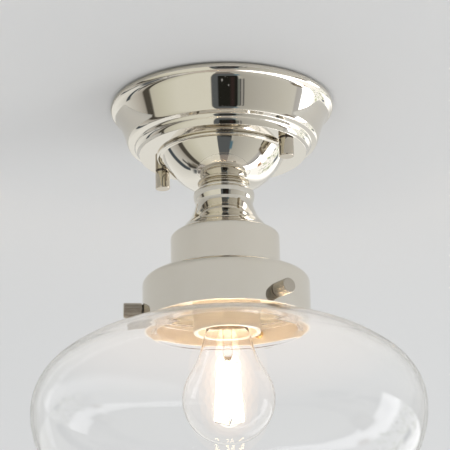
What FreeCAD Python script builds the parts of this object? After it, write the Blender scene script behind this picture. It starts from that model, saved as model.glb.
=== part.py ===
import FreeCAD, Part
import math
import os

import Sketcher

# Semi flush ceiling light with a spun rose, a turned neck, a two tier gallery and a clear glass shade.
# Millimetres. The origin is the middle of the ceiling face, and the light hangs down along -Z.
# The fixing strap and its two studs lie along X. Depths are counted down from the ceiling.

DEGREES_IN_TURN = 360

SIZES = {
    # Fixing strap
    "strap_length": 118.0,
    "strap_width": 22.0,
    "strap_thickness": 2.0,
    "strap_hole_radius": 5.5,
    "slot_spacing": 60.0,
    "slot_length": 14.0,
    "slot_radius": 2.5,
    "tab_length": 38.0,
    "tab_reach": 33.0,
    "stud_spacing": 100.4,
    "stud_radius": 2.0,
    "stud_past_rose": 9.4,
    "small_nut_flats": 7.0,
    "small_nut_height": 3.2,
    # Ceiling rose
    "rose_rim_radius": 75.2,
    "rose_rim_roll": 2.1,
    "rose_neck_radius": 72.0,
    "rose_neck_depth": 5.6,
    "rose_wall_foot_radius": 65.6,
    "rose_wall_foot_depth": 29.0,
    "rose_bead_radius": 63.6,
    "rose_bead_depth": 30.8,
    "rose_cove_radius": 60.4,
    "rose_cove_depth": 33.2,
    "rose_base_radius": 55.8,
    "rose_depth": 35.6,
    "spun_sheet": 1.2,
    "stud_hole_radius": 2.4,
    # Rose nuts
    "rose_nut_radius": 4.95,
    "rose_nut_length": 11.2,
    "rose_nut_chamfer": 0.7,
    "rose_nut_bore_depth": 9.3,
    "rose_washer_radius": 4.6,
    "rose_washer_thickness": 0.6,
    "seat_gap": 0.05,
    "running_gap": 0.05,
    # Dome under the rose
    "dome_flange_radius": 44.3,
    "dome_flange_height": 1.9,
    "dome_radius": 40.9,
    "dome_side_bend": 53.5,
    "dome_foot_bend": 31.8,
    "dome_top_angle": 27.5,
    "dome_side_angle": 46.0,
    "dome_foot_radius": 15.7,
    "dome_height": 23.8,
    # Threaded tube with its nuts and washers
    "tube_radius": 5.0,
    "tube_bore_radius": 3.6,
    "tube_past_nut": 2.4,
    "tube_hole_gap": 0.15,
    "tube_nut_flats": 14.0,
    "tube_nut_height": 4.0,
    "tube_washer_radius": 12.0,
    "tube_washer_thickness": 1.2,
    "thin_nut_height": 3.0,
    "tube_end_past_saddle": 1.0,
    # Neck
    "collar_height": 3.0,
    "collar_radius": 17.3,
    "collar_edge_radius": 16.4,
    "neck_top_radius": 17.6,
    "neck_bead_radius": 20.5,
    "neck_bead_drop": 3.6,
    "neck_waist_radius": 18.7,
    "neck_waist_drop": 7.6,
    "neck_foot_radius": 29.5,
    "neck_foot_edge": 0.6,
    "neck_height": 29.9,
    # Gallery
    "gallery_sheet": 1.3,
    "cap_radius": 36.1,
    "cap_corner": 3.2,
    "cap_height": 30.2,
    "skirt_radius": 55.0,
    "skirt_corner": 5.2,
    "skirt_height": 30.0,
    # Thumb screws
    "screw_count": 3,
    "screw_first_angle": 100.0,
    "screw_rise": 8.0,
    "screw_radius": 2.0,
    "screw_wall_gap": 0.6,
    "screw_head_radius": 4.85,
    "screw_head_length": 11.8,
    "screw_head_chamfer": 0.45,
    "screw_boss_radius": 4.0,
    "screw_boss_gap": 0.1,
    "screw_bore_depth": 6.4,
    "screw_shank_end_gap": 0.4,
    "knurl_depth": 0.35,
    "knurl_count": 30,
    "bush_radius": 3.5,
    "bush_inner_reach": 51.9,
    # Glass shade
    "glass_wall": 3.4,
    "glass_radius": 127.0,
    "glass_belly_drop": 68.0,
    "glass_upper_bend": 41.5,
    "glass_upper_angle": 50.0,
    "glass_shoulder_bend": 99.0,
    "glass_shoulder_angle": 76.0,
    "glass_lower_bend": 60.0,
    "glass_lower_angle": 50.0,
    "glass_neck_radius": 48.0,
    "glass_neck_bend": 3.6,
    "glass_lip_radius": 51.3,
    "glass_lip_height": 5.0,
    "glass_lip_round": 2.4,
    "glass_screw_gap": 0.3,
    # Lamp holder
    "cup_radius": 22.2,
    "cup_corner": 2.5,
    "cup_drop": 18.2,
    "cup_height": 47.2,
    "cup_lip_radius": 19.2,
    "cup_lip_height": 2.4,
    "saddle_length": 30.0,
    "saddle_width": 12.0,
    "saddle_thickness": 1.5,
    "saddle_screw_offset": 11.0,
    "saddle_screw_radius": 1.5,
    "saddle_screw_head_radius": 2.7,
    "saddle_screw_head_height": 1.6,
    "saddle_screw_length": 6.0,
    "porcelain_radius": 20.5,
    "socket_depth": 27.0,
    "porcelain_round": 1.5,
    "recess_radius": 8.0,
    "recess_depth": 3.3,
    "terminal_offset": 13.5,
    "terminal_width": 6.0,
    "terminal_depth": 5.0,
    "terminal_screw_radius": 1.25,
    "terminal_screw_head_radius": 2.2,
    "terminal_screw_head_height": 1.2,
    "socket_floor_thickness": 7.3,
    "shell_sheet": 0.4,
    "shell_length": 25.0,
    "holder_contact_radius": 4.0,
    "holder_contact_sheet": 0.6,
    "holder_button_radius": 2.4,
    "holder_button_height": 1.7,
    # Bulb
    "bulb_contact_gap": 0.3,
    "bulb_length": 107.2,
    "bulb_radius": 30.0,
    "bulb_shoulder_angle": 32.0,
    "bulb_neck_radius": 15.6,
    "bulb_neck_drop": 35.0,
    "bulb_collar_radius": 13.4,
    "bulb_collar_drop": 26.2,
    "bulb_wall": 0.8,
    "bulb_neck_in_cap": 11.0,
    "bulb_contact_radius": 3.8,
    "bulb_contact_height": 1.2,
    "insulator_foot_radius": 9.0,
    "insulator_height": 2.6,
    "bulb_cap_radius": 13.1,
    "bulb_cap_root_radius": 12.2,
    "bulb_cap_sheet": 0.3,
    "thread_pitch": 3.629,
    "thread_count": 5,
    "stem_flare_radius": 11.4,
    "stem_radius": 3.2,
    "stem_tip_drop": 51.0,
    "stem_flare_drop": 14.5,
    "filament_count": 4,
    "filament_radius": 0.9,
    "filament_length": 38.0,
    "filament_top_drop": 54.0,
    "filament_top_offset": 6.0,
    "filament_foot_offset": 9.0,
    "support_wire_radius": 0.35,
    # Wiring
    "block_length": 32.0,
    "block_width": 16.0,
    "block_height": 12.5,
    "block_near_side": 14.0,
    "block_pitch": 10.0,
    "block_bore_radius": 1.6,
    "block_screw_radius": 1.4,
    "block_screw_sink": 1.0,
    "wire_radius": 0.9,
    "wire_offset": 1.3,
    "wire_bend": 3.0,
    "wire_foot_bend": 2.5,
    "tag_thickness": 0.8,
    "tag_ring_radius": 8.5,
    "tag_tail_length": 15.0,
    "tag_tail_width": 5.0,
    "earth_screw_offset": 14.0,
    "earth_screw_head_radius": 3.8,
    "earth_screw_head_height": 2.6,
    "earth_slot_width": 1.0,
    "earth_slot_depth": 1.0,
}


class Size:
    """A number together with the sheet expression that gives it."""

    def __init__(self, value, text):
        self.value = value
        self.text = text

    def __add__(self, other):
        return joined(self, "+", other, self.value + number(other))

    def __radd__(self, other):
        return joined(other, "+", self, number(other) + self.value)

    def __sub__(self, other):
        return joined(self, "-", other, self.value - number(other))

    def __rsub__(self, other):
        return joined(other, "-", self, number(other) - self.value)

    def __mul__(self, other):
        return joined(self, "*", other, self.value * number(other))

    def __rmul__(self, other):
        return joined(other, "*", self, number(other) * self.value)

    def __truediv__(self, other):
        return joined(self, "/", other, self.value / number(other))

    def __neg__(self):
        return Size(-self.value, "(0 - " + self.text + ")")


def number(item):
    """The plain value of a size or a number."""
    return item.value if isinstance(item, Size) else float(item)


def wording(item):
    """The expression text of a size or a number."""
    return item.text if isinstance(item, Size) else repr(item)


def joined(left, sign, right, value):
    """A size made from two others."""
    return Size(value, "(" + wording(left) + " " + sign + " " + wording(right) + ")")


def cosine(angle):
    """Cosine of an angle in degrees."""
    return Size(math.cos(math.radians(angle.value)), "cos(" + angle.text + ")")


def sine(angle):
    """Sine of an angle in degrees."""
    return Size(math.sin(math.radians(angle.value)), "sin(" + angle.text + ")")


def root(item):
    """Square root of a size."""
    return Size(math.sqrt(item.value), "sqrt(" + item.text + ")")


doc = FreeCAD.newDocument("ceiling_light")
sheet = doc.addObject("Spreadsheet::Sheet", "Sizes")


def fill_sheet():
    """Write every driving size into its own cell, under its own alias."""
    for row, (name, value) in enumerate(SIZES.items(), start=1):
        sheet.set("A" + str(row), name)
        sheet.set("B" + str(row), str(value))
        sheet.setAlias("B" + str(row), name)
    doc.recompute()


def size(name):
    """The driving size of that name."""
    return Size(float(SIZES[name]), "Sizes." + name)


fill_sheet()
parts = []


def bind(item, prop, value):
    """Set a property and tie it to the sheet."""
    setattr(item, prop, number(value))
    if isinstance(value, Size):
        item.setExpression(prop, value.text)


def settle(item, spot, turn=None):
    """Place an object at a spot that follows the sheet."""
    spin = turn or FreeCAD.Rotation()
    item.Placement = FreeCAD.Placement(FreeCAD.Vector(*[number(value) for value in spot]), spin)
    for letter, value in zip("xyz", spot):
        if isinstance(value, Size):
            item.setExpression("Placement.Base." + letter, value.text)


def keep(item, name):
    """Name an object as one of the light's pieces."""
    item.Label = name
    parts.append(item)
    return item


# Outlines are lists of corners. A corner is (across, up), or (across, up, radius, side) when the edge
# that ends there is an arc. Side is "left" or "right": where the arc's centre lies, seen along the edge.


def arc_between(start, end, radius, side):
    """The short arc from start to end, and whether the sketcher stores it turned round."""
    chord = end - start
    half = chord.Length / 2
    lift = math.sqrt(max(radius * radius - half * half, 0.0))
    left = FreeCAD.Vector(-chord.y, chord.x, 0).normalize()
    centre = (start + end) * 0.5 + left * (lift if side == "left" else -lift)
    first, last = (start, end) if side == "left" else (end, start)
    first_angle = math.atan2(first.y - centre.y, first.x - centre.x)
    last_angle = math.atan2(last.y - centre.y, last.x - centre.x)
    if last_angle < first_angle:
        last_angle += 2 * math.pi
    circle = Part.Circle(centre, FreeCAD.Vector(0, 0, 1), radius)
    return Part.ArcOfCircle(circle, first_angle, last_angle), side == "right"


def draw(sketch, corners):
    """Add one closed outline to a sketch, with each corner and radius tied to the sheet."""
    spots = [FreeCAD.Vector(number(corner[0]), number(corner[1]), 0) for corner in corners]
    first_edge = sketch.GeometryCount
    turned_round = []
    for index, corner in enumerate(corners):
        start = spots[index - 1]
        end = spots[index]
        if len(corner) == 4:
            edge, flipped = arc_between(start, end, number(corner[2]), corner[3])
        else:
            edge, flipped = Part.LineSegment(start, end), False
        sketch.addGeometry(edge, False)
        turned_round.append(flipped)
    count = len(corners)
    for index, corner in enumerate(corners):
        edge = first_edge + index
        following = first_edge + (index + 1) % count
        end_point = 1 if turned_round[index] else 2
        start_point = 2 if turned_round[(index + 1) % count] else 1
        sketch.addConstraint(Sketcher.Constraint("Coincident", edge, end_point, following, start_point))
        across = Sketcher.Constraint("DistanceX", -1, 1, edge, end_point, number(corner[0]))
        up = Sketcher.Constraint("DistanceY", -1, 1, edge, end_point, number(corner[1]))
        pin(sketch, across, corner[0])
        pin(sketch, up, corner[1])
        if len(corner) == 4:
            pin(sketch, Sketcher.Constraint("Radius", edge, number(corner[2])), corner[2])


def pin(sketch, constraint, value):
    """Add a constraint and tie its value to the sheet."""
    place = sketch.addConstraint(constraint)
    if isinstance(value, Size):
        sketch.setExpression("Constraints[" + str(place) + "]", value.text)


def ring(sketch, across, up, radius):
    """Add a circle to a sketch."""
    centre = FreeCAD.Vector(number(across), number(up), 0)
    place = sketch.addGeometry(Part.Circle(centre, FreeCAD.Vector(0, 0, 1), number(radius)), False)
    pin(sketch, Sketcher.Constraint("DistanceX", -1, 1, place, 3, number(across)), across)
    pin(sketch, Sketcher.Constraint("DistanceY", -1, 1, place, 3, number(up)), up)
    pin(sketch, Sketcher.Constraint("Radius", place, number(radius)), radius)


def new_body(name):
    """An empty body for one piece."""
    body = doc.addObject("PartDesign::Body", name + "_body")
    return keep(body, name)


def new_sketch(body, role, name):
    """A sketch on one of the body's own origin planes."""
    sketch = body.newObject("Sketcher::SketchObject", name)
    plane = [item for item in body.Origin.OriginFeatures if item.Role == role][0]
    sketch.AttachmentSupport = (plane, "")
    sketch.MapMode = "FlatFace"
    return sketch


def turned(name, corners):
    """A piece spun round Z from its half outline."""
    body = new_body(name)
    sketch = new_sketch(body, "XZ_Plane", name + "_outline")
    draw(sketch, corners)
    doc.recompute()
    spin = body.newObject("PartDesign::Revolution", name + "_spin")
    spin.Profile = sketch
    spin.ReferenceAxis = (sketch, ["V_Axis"])
    spin.Angle = DEGREES_IN_TURN
    body.Tip = spin
    return body


def cut_through(body, name, outlines=(), circles=()):
    """Cut holes through a body along Z."""
    sketch = new_sketch(body, "XY_Plane", name)
    for corners in outlines:
        draw(sketch, corners)
    for circle in circles:
        ring(sketch, *circle)
    doc.recompute()
    before = body.Shape.Volume
    pocket = body.newObject("PartDesign::Pocket", name + "_cut")
    pocket.Profile = sketch
    pocket.Type = "ThroughAll"
    pocket.Midplane = True
    doc.recompute()
    if pocket.Shape.Volume >= before:
        raise ValueError(name + " cuts nothing")
    return pocket


def block(name, low, high):
    """A box between two corners."""
    item = doc.addObject("Part::Box", name)
    bind(item, "Length", high[0] - low[0])
    bind(item, "Width", high[1] - low[1])
    bind(item, "Height", high[2] - low[2])
    settle(item, low)
    return item


def rod(name, spot, radius, height):
    """An upright cylinder that starts at a spot."""
    item = doc.addObject("Part::Cylinder", name)
    bind(item, "Radius", radius)
    bind(item, "Height", height)
    settle(item, spot)
    return item


def cut(name, base, tool):
    """One object less another."""
    item = doc.addObject("Part::Cut", name)
    item.Base = base
    item.Tool = tool
    return item


def fused(name, items):
    """Several objects as one solid."""
    item = doc.addObject("Part::MultiFuse", name)
    item.Shapes = items
    item.Refine = True
    return item


def grouped(name, items):
    """Several like solids kept as one node."""
    item = doc.addObject("Part::Compound", name + "_group")
    item.Links = items
    return keep(item, name)


def hex_nut(name, spot, flats, height, bore):
    """A hexagon nut with its lower face at a spot."""
    outer = doc.addObject("Part::Prism", name + "_hexagon")
    outer.Polygon = 6
    bind(outer, "Circumradius", flats / root(Size(3.0, "3")))
    bind(outer, "Height", height)
    settle(outer, spot)
    hole = rod(name + "_hole", spot, bore, height)
    return cut(name + "_nut", outer, hole)


def seat_bend(across, up):
    """Radius of an arc that starts or ends upright and covers that much across and up."""
    return (across * across + up * up) / (across * 2)


# Shared places


strap_thickness = size("strap_thickness")
half_studs = size("stud_spacing") / 2
rose_depth = size("rose_depth")
stud_foot = rose_depth + size("stud_past_rose")
sheet_wall = size("spun_sheet")
tube_hole = size("tube_radius") + size("tube_hole_gap")
tube_radius = size("tube_radius")
rose_floor = rose_depth - sheet_wall
dome_foot = rose_depth + size("dome_height")
neck_top = dome_foot + size("collar_height")
neck_foot = neck_top + size("neck_height")
gallery_sheet = size("gallery_sheet")
cap_foot = neck_foot + size("cap_height")
skirt_foot = cap_foot + size("skirt_height")
screw_depth = skirt_foot - size("screw_rise")
tag_level = rose_floor - size("tube_washer_thickness")
tag_top = tag_level - size("tag_thickness")
tube_top = tag_top - size("tube_nut_height") - size("tube_past_nut")
cup_top = neck_foot + size("cup_drop")
cup_roof = cup_top + sheet_wall
saddle_top = cup_roof + size("thin_nut_height")
porcelain_top = saddle_top + size("saddle_thickness")
tube_end = porcelain_top + size("tube_end_past_saddle")
socket_floor = porcelain_top + size("socket_floor_thickness")
contact_foot = socket_floor + size("holder_contact_sheet") + size("holder_button_height")
bulb_top = contact_foot + size("bulb_contact_gap")
bulb_foot = bulb_top + size("bulb_length")


def make_strap():
    """Steel fixing strap with ceiling slots, a cable hole, stud holes and a tab for the terminal block."""
    body = new_body("fixing_strap")
    sketch = new_sketch(body, "XY_Plane", "strap_outline")
    end = size("strap_length") / 2
    side = size("strap_width") / 2
    tab = size("tab_length") / 2
    reach = size("tab_reach")
    draw(sketch, [(-end, -side), (-tab, -side), (-tab, -reach), (tab, -reach), (tab, -side),
                  (end, -side), (end, side), (-end, side)])
    doc.recompute()
    pad = body.newObject("PartDesign::Pad", "strap_plate")
    pad.Profile = sketch
    bind(pad, "Length", strap_thickness)
    pad.Reversed = True
    doc.recompute()
    hole = size("slot_radius")
    run = size("slot_length") / 2 - hole
    slots = []
    for middle in (size("slot_spacing") / 2, -(size("slot_spacing") / 2)):
        slots.append([(middle + run, -hole), (middle + run + hole, 0, hole, "left"),
                      (middle + run, hole, hole, "left"), (middle - run, hole),
                      (middle - run - hole, 0, hole, "left"), (middle - run, -hole, hole, "left")])
    circles = [(0, 0, size("strap_hole_radius"))]
    circles.append((half_studs, 0, size("stud_radius")))
    circles.append((-half_studs, 0, size("stud_radius")))
    circles.append((size("earth_screw_offset"), 0, size("stud_radius")))
    circles.append((size("block_pitch") / 2, -block_middle(), size("saddle_screw_radius")))
    body.Tip = cut_through(body, "strap_holes", slots, circles)


def block_middle():
    """How far the terminal block's middle lies from the strap's middle."""
    return size("block_near_side") + size("block_width") / 2


def make_studs():
    """Two threaded studs in the strap, each with a lock nut under it."""
    studs = []
    nuts = []
    for sign, label in ((1, "right"), (-1, "left")):
        spot = (half_studs * sign, 0, -stud_foot)
        studs.append(rod("stud_" + label, spot, size("stud_radius"), stud_foot))
        nut_spot = (half_studs * sign, 0, -(strap_thickness + size("small_nut_height")))
        nuts.append(hex_nut("lock_" + label, nut_spot, size("small_nut_flats"),
                            size("small_nut_height"), size("stud_radius")))
    grouped("strap_studs", studs)
    grouped("stud_lock_nuts", nuts)


def make_rose():
    """Spun ceiling rose: rolled rim, sloping wall, bead and cove, and a flat base with three holes."""
    rim = size("rose_rim_radius")
    roll = size("rose_rim_roll")
    neck = size("rose_neck_radius")
    foot = size("rose_wall_foot_radius")
    bead = size("rose_bead_radius")
    cove = size("rose_cove_radius")
    base = size("rose_base_radius")
    foot_depth = size("rose_wall_foot_depth")
    bead_depth = size("rose_bead_depth")
    cove_depth = size("rose_cove_depth")
    bead_bend = seat_bend(foot - bead, bead_depth - foot_depth)
    base_bend = seat_bend(rose_depth - cove_depth, cove - base)
    cove_bend = (cove_depth - bead_depth) + (bead - cove)
    body = turned("ceiling_rose", [
        (rim - roll, 0),
        (rim, -roll, roll, "right"),
        (rim - roll, -(roll * 2), roll, "right"),
        (neck, -size("rose_neck_depth")),
        (foot, -foot_depth),
        (bead, -bead_depth, bead_bend, "right"),
        (cove, -cove_depth, cove_bend, "left"),
        (base, -rose_depth, base_bend, "right"),
        (tube_hole, -rose_depth),
        (tube_hole, -rose_floor),
        (base, -rose_floor),
        (cove, -(cove_depth - sheet_wall * 1.1)),
        (bead, -(bead_depth - sheet_wall * 1.6)),
        (neck - sheet_wall, -size("rose_neck_depth")),
        (neck - sheet_wall, 0),
    ])
    circles = [(half_studs, 0, size("stud_hole_radius")), (-half_studs, 0, size("stud_hole_radius"))]
    body.Tip = cut_through(body, "rose_stud_holes", (), circles)


def make_rose_nuts():
    """Plain polished nuts under the rose, each with a thin washer."""
    gap = size("seat_gap")
    washer_top = rose_depth + gap
    washer_foot = washer_top + size("rose_washer_thickness")
    nut_top = washer_foot + gap
    nut_foot = nut_top + size("rose_nut_length")
    radius = size("rose_nut_radius")
    chamfer = size("rose_nut_chamfer")
    bore = size("stud_radius") + size("running_gap")
    bore_foot = nut_top + size("rose_nut_bore_depth")
    for sign, label in ((1, "right"), (-1, "left")):
        nut = turned("rose_nut_" + label, [
            (bore, -nut_top), (radius, -nut_top), (radius, -(nut_foot - chamfer)),
            (radius - chamfer, -nut_foot), (0, -nut_foot), (0, -bore_foot), (bore, -bore_foot)])
        washer = turned("rose_washer_" + label, [
            (bore, -washer_top), (size("rose_washer_radius"), -washer_top),
            (size("rose_washer_radius"), -washer_foot), (bore, -washer_foot)])
        for item in (nut, washer):
            settle(item, (half_studs * sign, 0, 0))


def make_dome():
    """Spun dome that covers the joint between rose and neck, with a beaded flange."""
    flange = size("dome_flange_radius")
    half_flange = size("dome_flange_height") / 2
    top = rose_depth + half_flange * 2
    outer = size("dome_radius")
    bend = size("dome_side_bend")
    first = size("dome_top_angle")
    angle = size("dome_side_angle")
    foot = (size("dome_foot_radius"), -dome_foot)
    middle = (outer - bend * cosine(first), -(top - bend * sine(first)))
    side = (middle[0] + bend * cosine(angle), middle[1] - bend * sine(angle))
    inner_bend = bend - sheet_wall
    inner_side = (middle[0] + inner_bend * cosine(angle), middle[1] - inner_bend * sine(angle))
    inner_top = (middle[0] + inner_bend * cosine(first), middle[1] - inner_bend * sine(first))
    lower_bend = size("dome_foot_bend")
    inner_foot = (foot[0], foot[1] + sheet_wall)
    turned("dome", [
        (flange - half_flange, -rose_depth),
        (flange, -(rose_depth + half_flange), half_flange, "right"),
        (flange - half_flange, -top, half_flange, "right"),
        (outer, -top),
        (side[0], side[1], bend, "right"),
        (foot[0], foot[1], lower_bend, "right"),
        (tube_hole, foot[1]),
        (tube_hole, inner_foot[1]),
        inner_foot,
        (inner_side[0], inner_side[1], lower_bend - sheet_wall, "left"),
        (inner_top[0], inner_top[1], inner_bend, "left"),
        (inner_top[0], -rose_depth),
    ])


def make_tube():
    """Hollow threaded tube that carries everything, with its washers and nuts."""
    turned("threaded_tube", [
        (size("tube_bore_radius"), -tube_top), (tube_radius, -tube_top),
        (tube_radius, -tube_end), (size("tube_bore_radius"), -tube_end)])
    washer = size("tube_washer_thickness")
    nut = size("tube_nut_height")
    flats = size("tube_nut_flats")
    cap_roof = neck_foot + gallery_sheet
    for name, top in (("rose_inner_washer", tag_level), ("gallery_washer", cap_roof)):
        turned(name, [(tube_radius, -top), (size("tube_washer_radius"), -top),
                      (size("tube_washer_radius"), -(top + washer)), (tube_radius, -(top + washer))])
    keep(hex_nut("rose_inner", (0, 0, -tag_top), flats, nut, tube_radius), "rose_inner_nut")
    keep(hex_nut("gallery", (0, 0, -(cap_roof + washer + nut)), flats, nut, tube_radius), "gallery_nut")
    upper = hex_nut("cup_upper", (0, 0, -cup_top), flats, size("thin_nut_height"), tube_radius)
    lower = hex_nut("cup_lower", (0, 0, -saddle_top), flats, size("thin_nut_height"), tube_radius)
    grouped("holder_cup_nuts", [upper, lower])


def make_neck():
    """Turned brass neck: a small collar under the dome, then a bead, a waist and a flared foot."""
    collar = size("collar_radius")
    edge = size("collar_edge_radius")
    half = size("collar_height") / 2
    top = dome_foot
    bulge = seat_bend(collar - edge, half)
    turned("neck_collar", [
        (tube_hole, -top), (edge, -top), (collar, -(top + half), bulge, "right"),
        (edge, -neck_top, bulge, "right"), (tube_hole, -neck_top)])
    head = size("neck_top_radius")
    bead = size("neck_bead_radius")
    drop = size("neck_bead_drop")
    waist = size("neck_waist_radius")
    waist_drop = size("neck_waist_drop")
    foot = size("neck_foot_radius")
    lip = size("neck_foot_edge")
    flare = seat_bend(foot - waist, neck_foot - lip - neck_top - waist_drop)
    turned("neck_spindle", [
        (tube_hole, -neck_top), (head, -neck_top),
        (bead, -(neck_top + drop), seat_bend(bead - head, drop), "right"),
        (waist, -(neck_top + waist_drop), seat_bend(bead - waist, waist_drop - drop), "right"),
        (foot, -(neck_foot - lip), flare, "left"),
        (foot, -neck_foot), (tube_hole, -neck_foot)])


def cap_outline(radius, corner, top, foot, wall, hole):
    """Outline of a spun cap with a rounded top edge and a hole in its top."""
    inner = radius - wall
    bend = corner - wall
    return [
        (hole, -top), (radius - corner, -top),
        (radius, -(top + corner), corner, "right"),
        (radius, -foot), (inner, -foot),
        (inner, -(top + corner)),
        (inner - bend, -(top + wall), bend, "left"),
        (hole, -(top + wall))]


def make_gallery():
    """Two tier gallery: a narrow cap brazed on a wide skirt that takes the glass."""
    cap = size("cap_radius")
    joint = cap_foot
    turned("gallery_cap", cap_outline(cap, size("cap_corner"), neck_foot, joint, gallery_sheet, tube_hole))
    skirt = turned("gallery_skirt", cap_outline(size("skirt_radius"), size("skirt_corner"), joint,
                                                skirt_foot, gallery_sheet, cap - gallery_sheet))
    sketch = new_sketch(skirt, "YZ_Plane", "skirt_screw_hole")
    ring(sketch, 0, -screw_depth, size("screw_radius") + size("running_gap") * 3)
    doc.recompute()
    before = skirt.Shape.Volume
    pocket = skirt.newObject("PartDesign::Pocket", "skirt_screw_cut")
    pocket.Profile = sketch
    bind(pocket, "Length", size("skirt_radius") + gallery_sheet)
    pocket.Reversed = True
    doc.recompute()
    if pocket.Shape.Volume >= before:
        raise ValueError("the screw hole cuts nothing")
    pattern = skirt.newObject("PartDesign::PolarPattern", "skirt_screw_holes")
    pattern.Originals = [pocket]
    axis = [item for item in skirt.Origin.OriginFeatures if item.Role == "Z_Axis"][0]
    pattern.Axis = (axis, [""])
    pattern.Angle = DEGREES_IN_TURN
    bind_count(pattern, "Occurrences", size("screw_count"))
    skirt.Tip = pattern
    settle(skirt, (0, 0, 0), FreeCAD.Rotation(FreeCAD.Vector(0, 0, 1), SIZES["screw_first_angle"]))


def bind_count(item, prop, value):
    """Tie a whole number to the sheet."""
    setattr(item, prop, int(value.value))
    item.setExpression(prop, value.text)


def screw_turn(index):
    """Rotation that points Z outwards along one thumb screw."""
    step = DEGREES_IN_TURN / SIZES["screw_count"]
    around = FreeCAD.Rotation(FreeCAD.Vector(0, 0, 1), SIZES["screw_first_angle"] + step * index)
    return around.multiply(FreeCAD.Rotation(FreeCAD.Vector(0, 1, 0), 90))


def make_thumb_screws():
    """Thumb screws that hold the glass: bushes in the skirt, plain shanks and knurled heads."""
    shank = size("screw_radius")
    bore = shank + size("running_gap")
    tip = size("glass_neck_radius") + size("glass_screw_gap")
    head_foot = size("skirt_radius") + size("screw_wall_gap")
    boss_foot = size("skirt_radius") + size("screw_boss_gap")
    head_end = head_foot + size("screw_head_length")
    shank_end = head_foot + size("screw_bore_depth") - size("screw_shank_end_gap")
    bore_end = head_foot + size("screw_bore_depth")
    radius = size("screw_head_radius")
    chamfer = size("screw_head_chamfer")
    inner_wall = size("skirt_radius") - gallery_sheet
    joint = cap_foot
    bushes = []
    for index in range(SIZES["screw_count"]):
        label = str(index + 1)
        turn = screw_turn(index)
        spot = (0, 0, -screw_depth)
        pin_piece = turned("thumb_screw_shank_" + label, [
            (0, tip), (shank - chamfer, tip), (shank, tip + chamfer),
            (shank, shank_end), (0, shank_end)])
        head = turned("thumb_screw_head_" + label, [
            (bore, boss_foot), (size("screw_boss_radius"), boss_foot),
            (size("screw_boss_radius"), head_foot),
            (radius - chamfer, head_foot), (radius, head_foot + chamfer),
            (radius, head_end - chamfer), (radius - chamfer, head_end), (0, head_end),
            (0, bore_end), (bore, bore_end)])
        knurl(head, label, head_foot, head_end)
        for item in (pin_piece, head):
            settle(item, spot, turn)
        out = turn.multVec(FreeCAD.Vector(0, 0, 1))
        reach = size("bush_inner_reach")
        start = (reach * out.x, reach * out.y, -screw_depth)
        length = size("skirt_radius") - reach
        outer = rod("bush_" + label, start, size("bush_radius"), length)
        hole = rod("bush_bore_" + label, start, bore, length)
        for item in (outer, hole):
            settle(item, start, turn)
        drum = rod("bush_drum_" + label, (0, 0, -skirt_foot), inner_wall, skirt_foot - joint)
        fitted = doc.addObject("Part::Common", "fitted_bush_" + label)
        fitted.Base = outer
        fitted.Tool = drum
        bushes.append(cut("threaded_bush_" + label, fitted, hole))
    grouped("threaded_bushes", bushes)


def knurl(head, label, foot, end):
    """Cut straight grooves along a thumb screw's head."""
    radius = size("screw_head_radius")
    depth = size("knurl_depth")
    half = radius * math.pi / SIZES["knurl_count"] * 0.6
    sketch = new_sketch(head, "XY_Plane", "knurl_notch_" + label)
    draw(sketch, [(radius - depth, 0), (radius + depth, -(half * 2)), (radius + depth, half * 2)])
    sketch.AttachmentOffset = FreeCAD.Placement(FreeCAD.Vector(0, 0, number(foot)), FreeCAD.Rotation())
    sketch.setExpression("AttachmentOffset.Base.z", wording(foot))
    doc.recompute()
    before = head.Shape.Volume
    groove = head.newObject("PartDesign::Pocket", "knurl_groove_" + label)
    groove.Profile = sketch
    groove.Reversed = True
    bind(groove, "Length", end - foot)
    doc.recompute()
    if groove.Shape.Volume >= before:
        raise ValueError("the knurl cuts nothing")
    pattern = head.newObject("PartDesign::PolarPattern", "knurl_" + label)
    pattern.Originals = [groove]
    axis = [item for item in head.Origin.OriginFeatures if item.Role == "Z_Axis"][0]
    pattern.Axis = (axis, [""])
    pattern.Angle = DEGREES_IN_TURN
    bind_count(pattern, "Occurrences", size("knurl_count"))
    head.Tip = pattern


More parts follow.
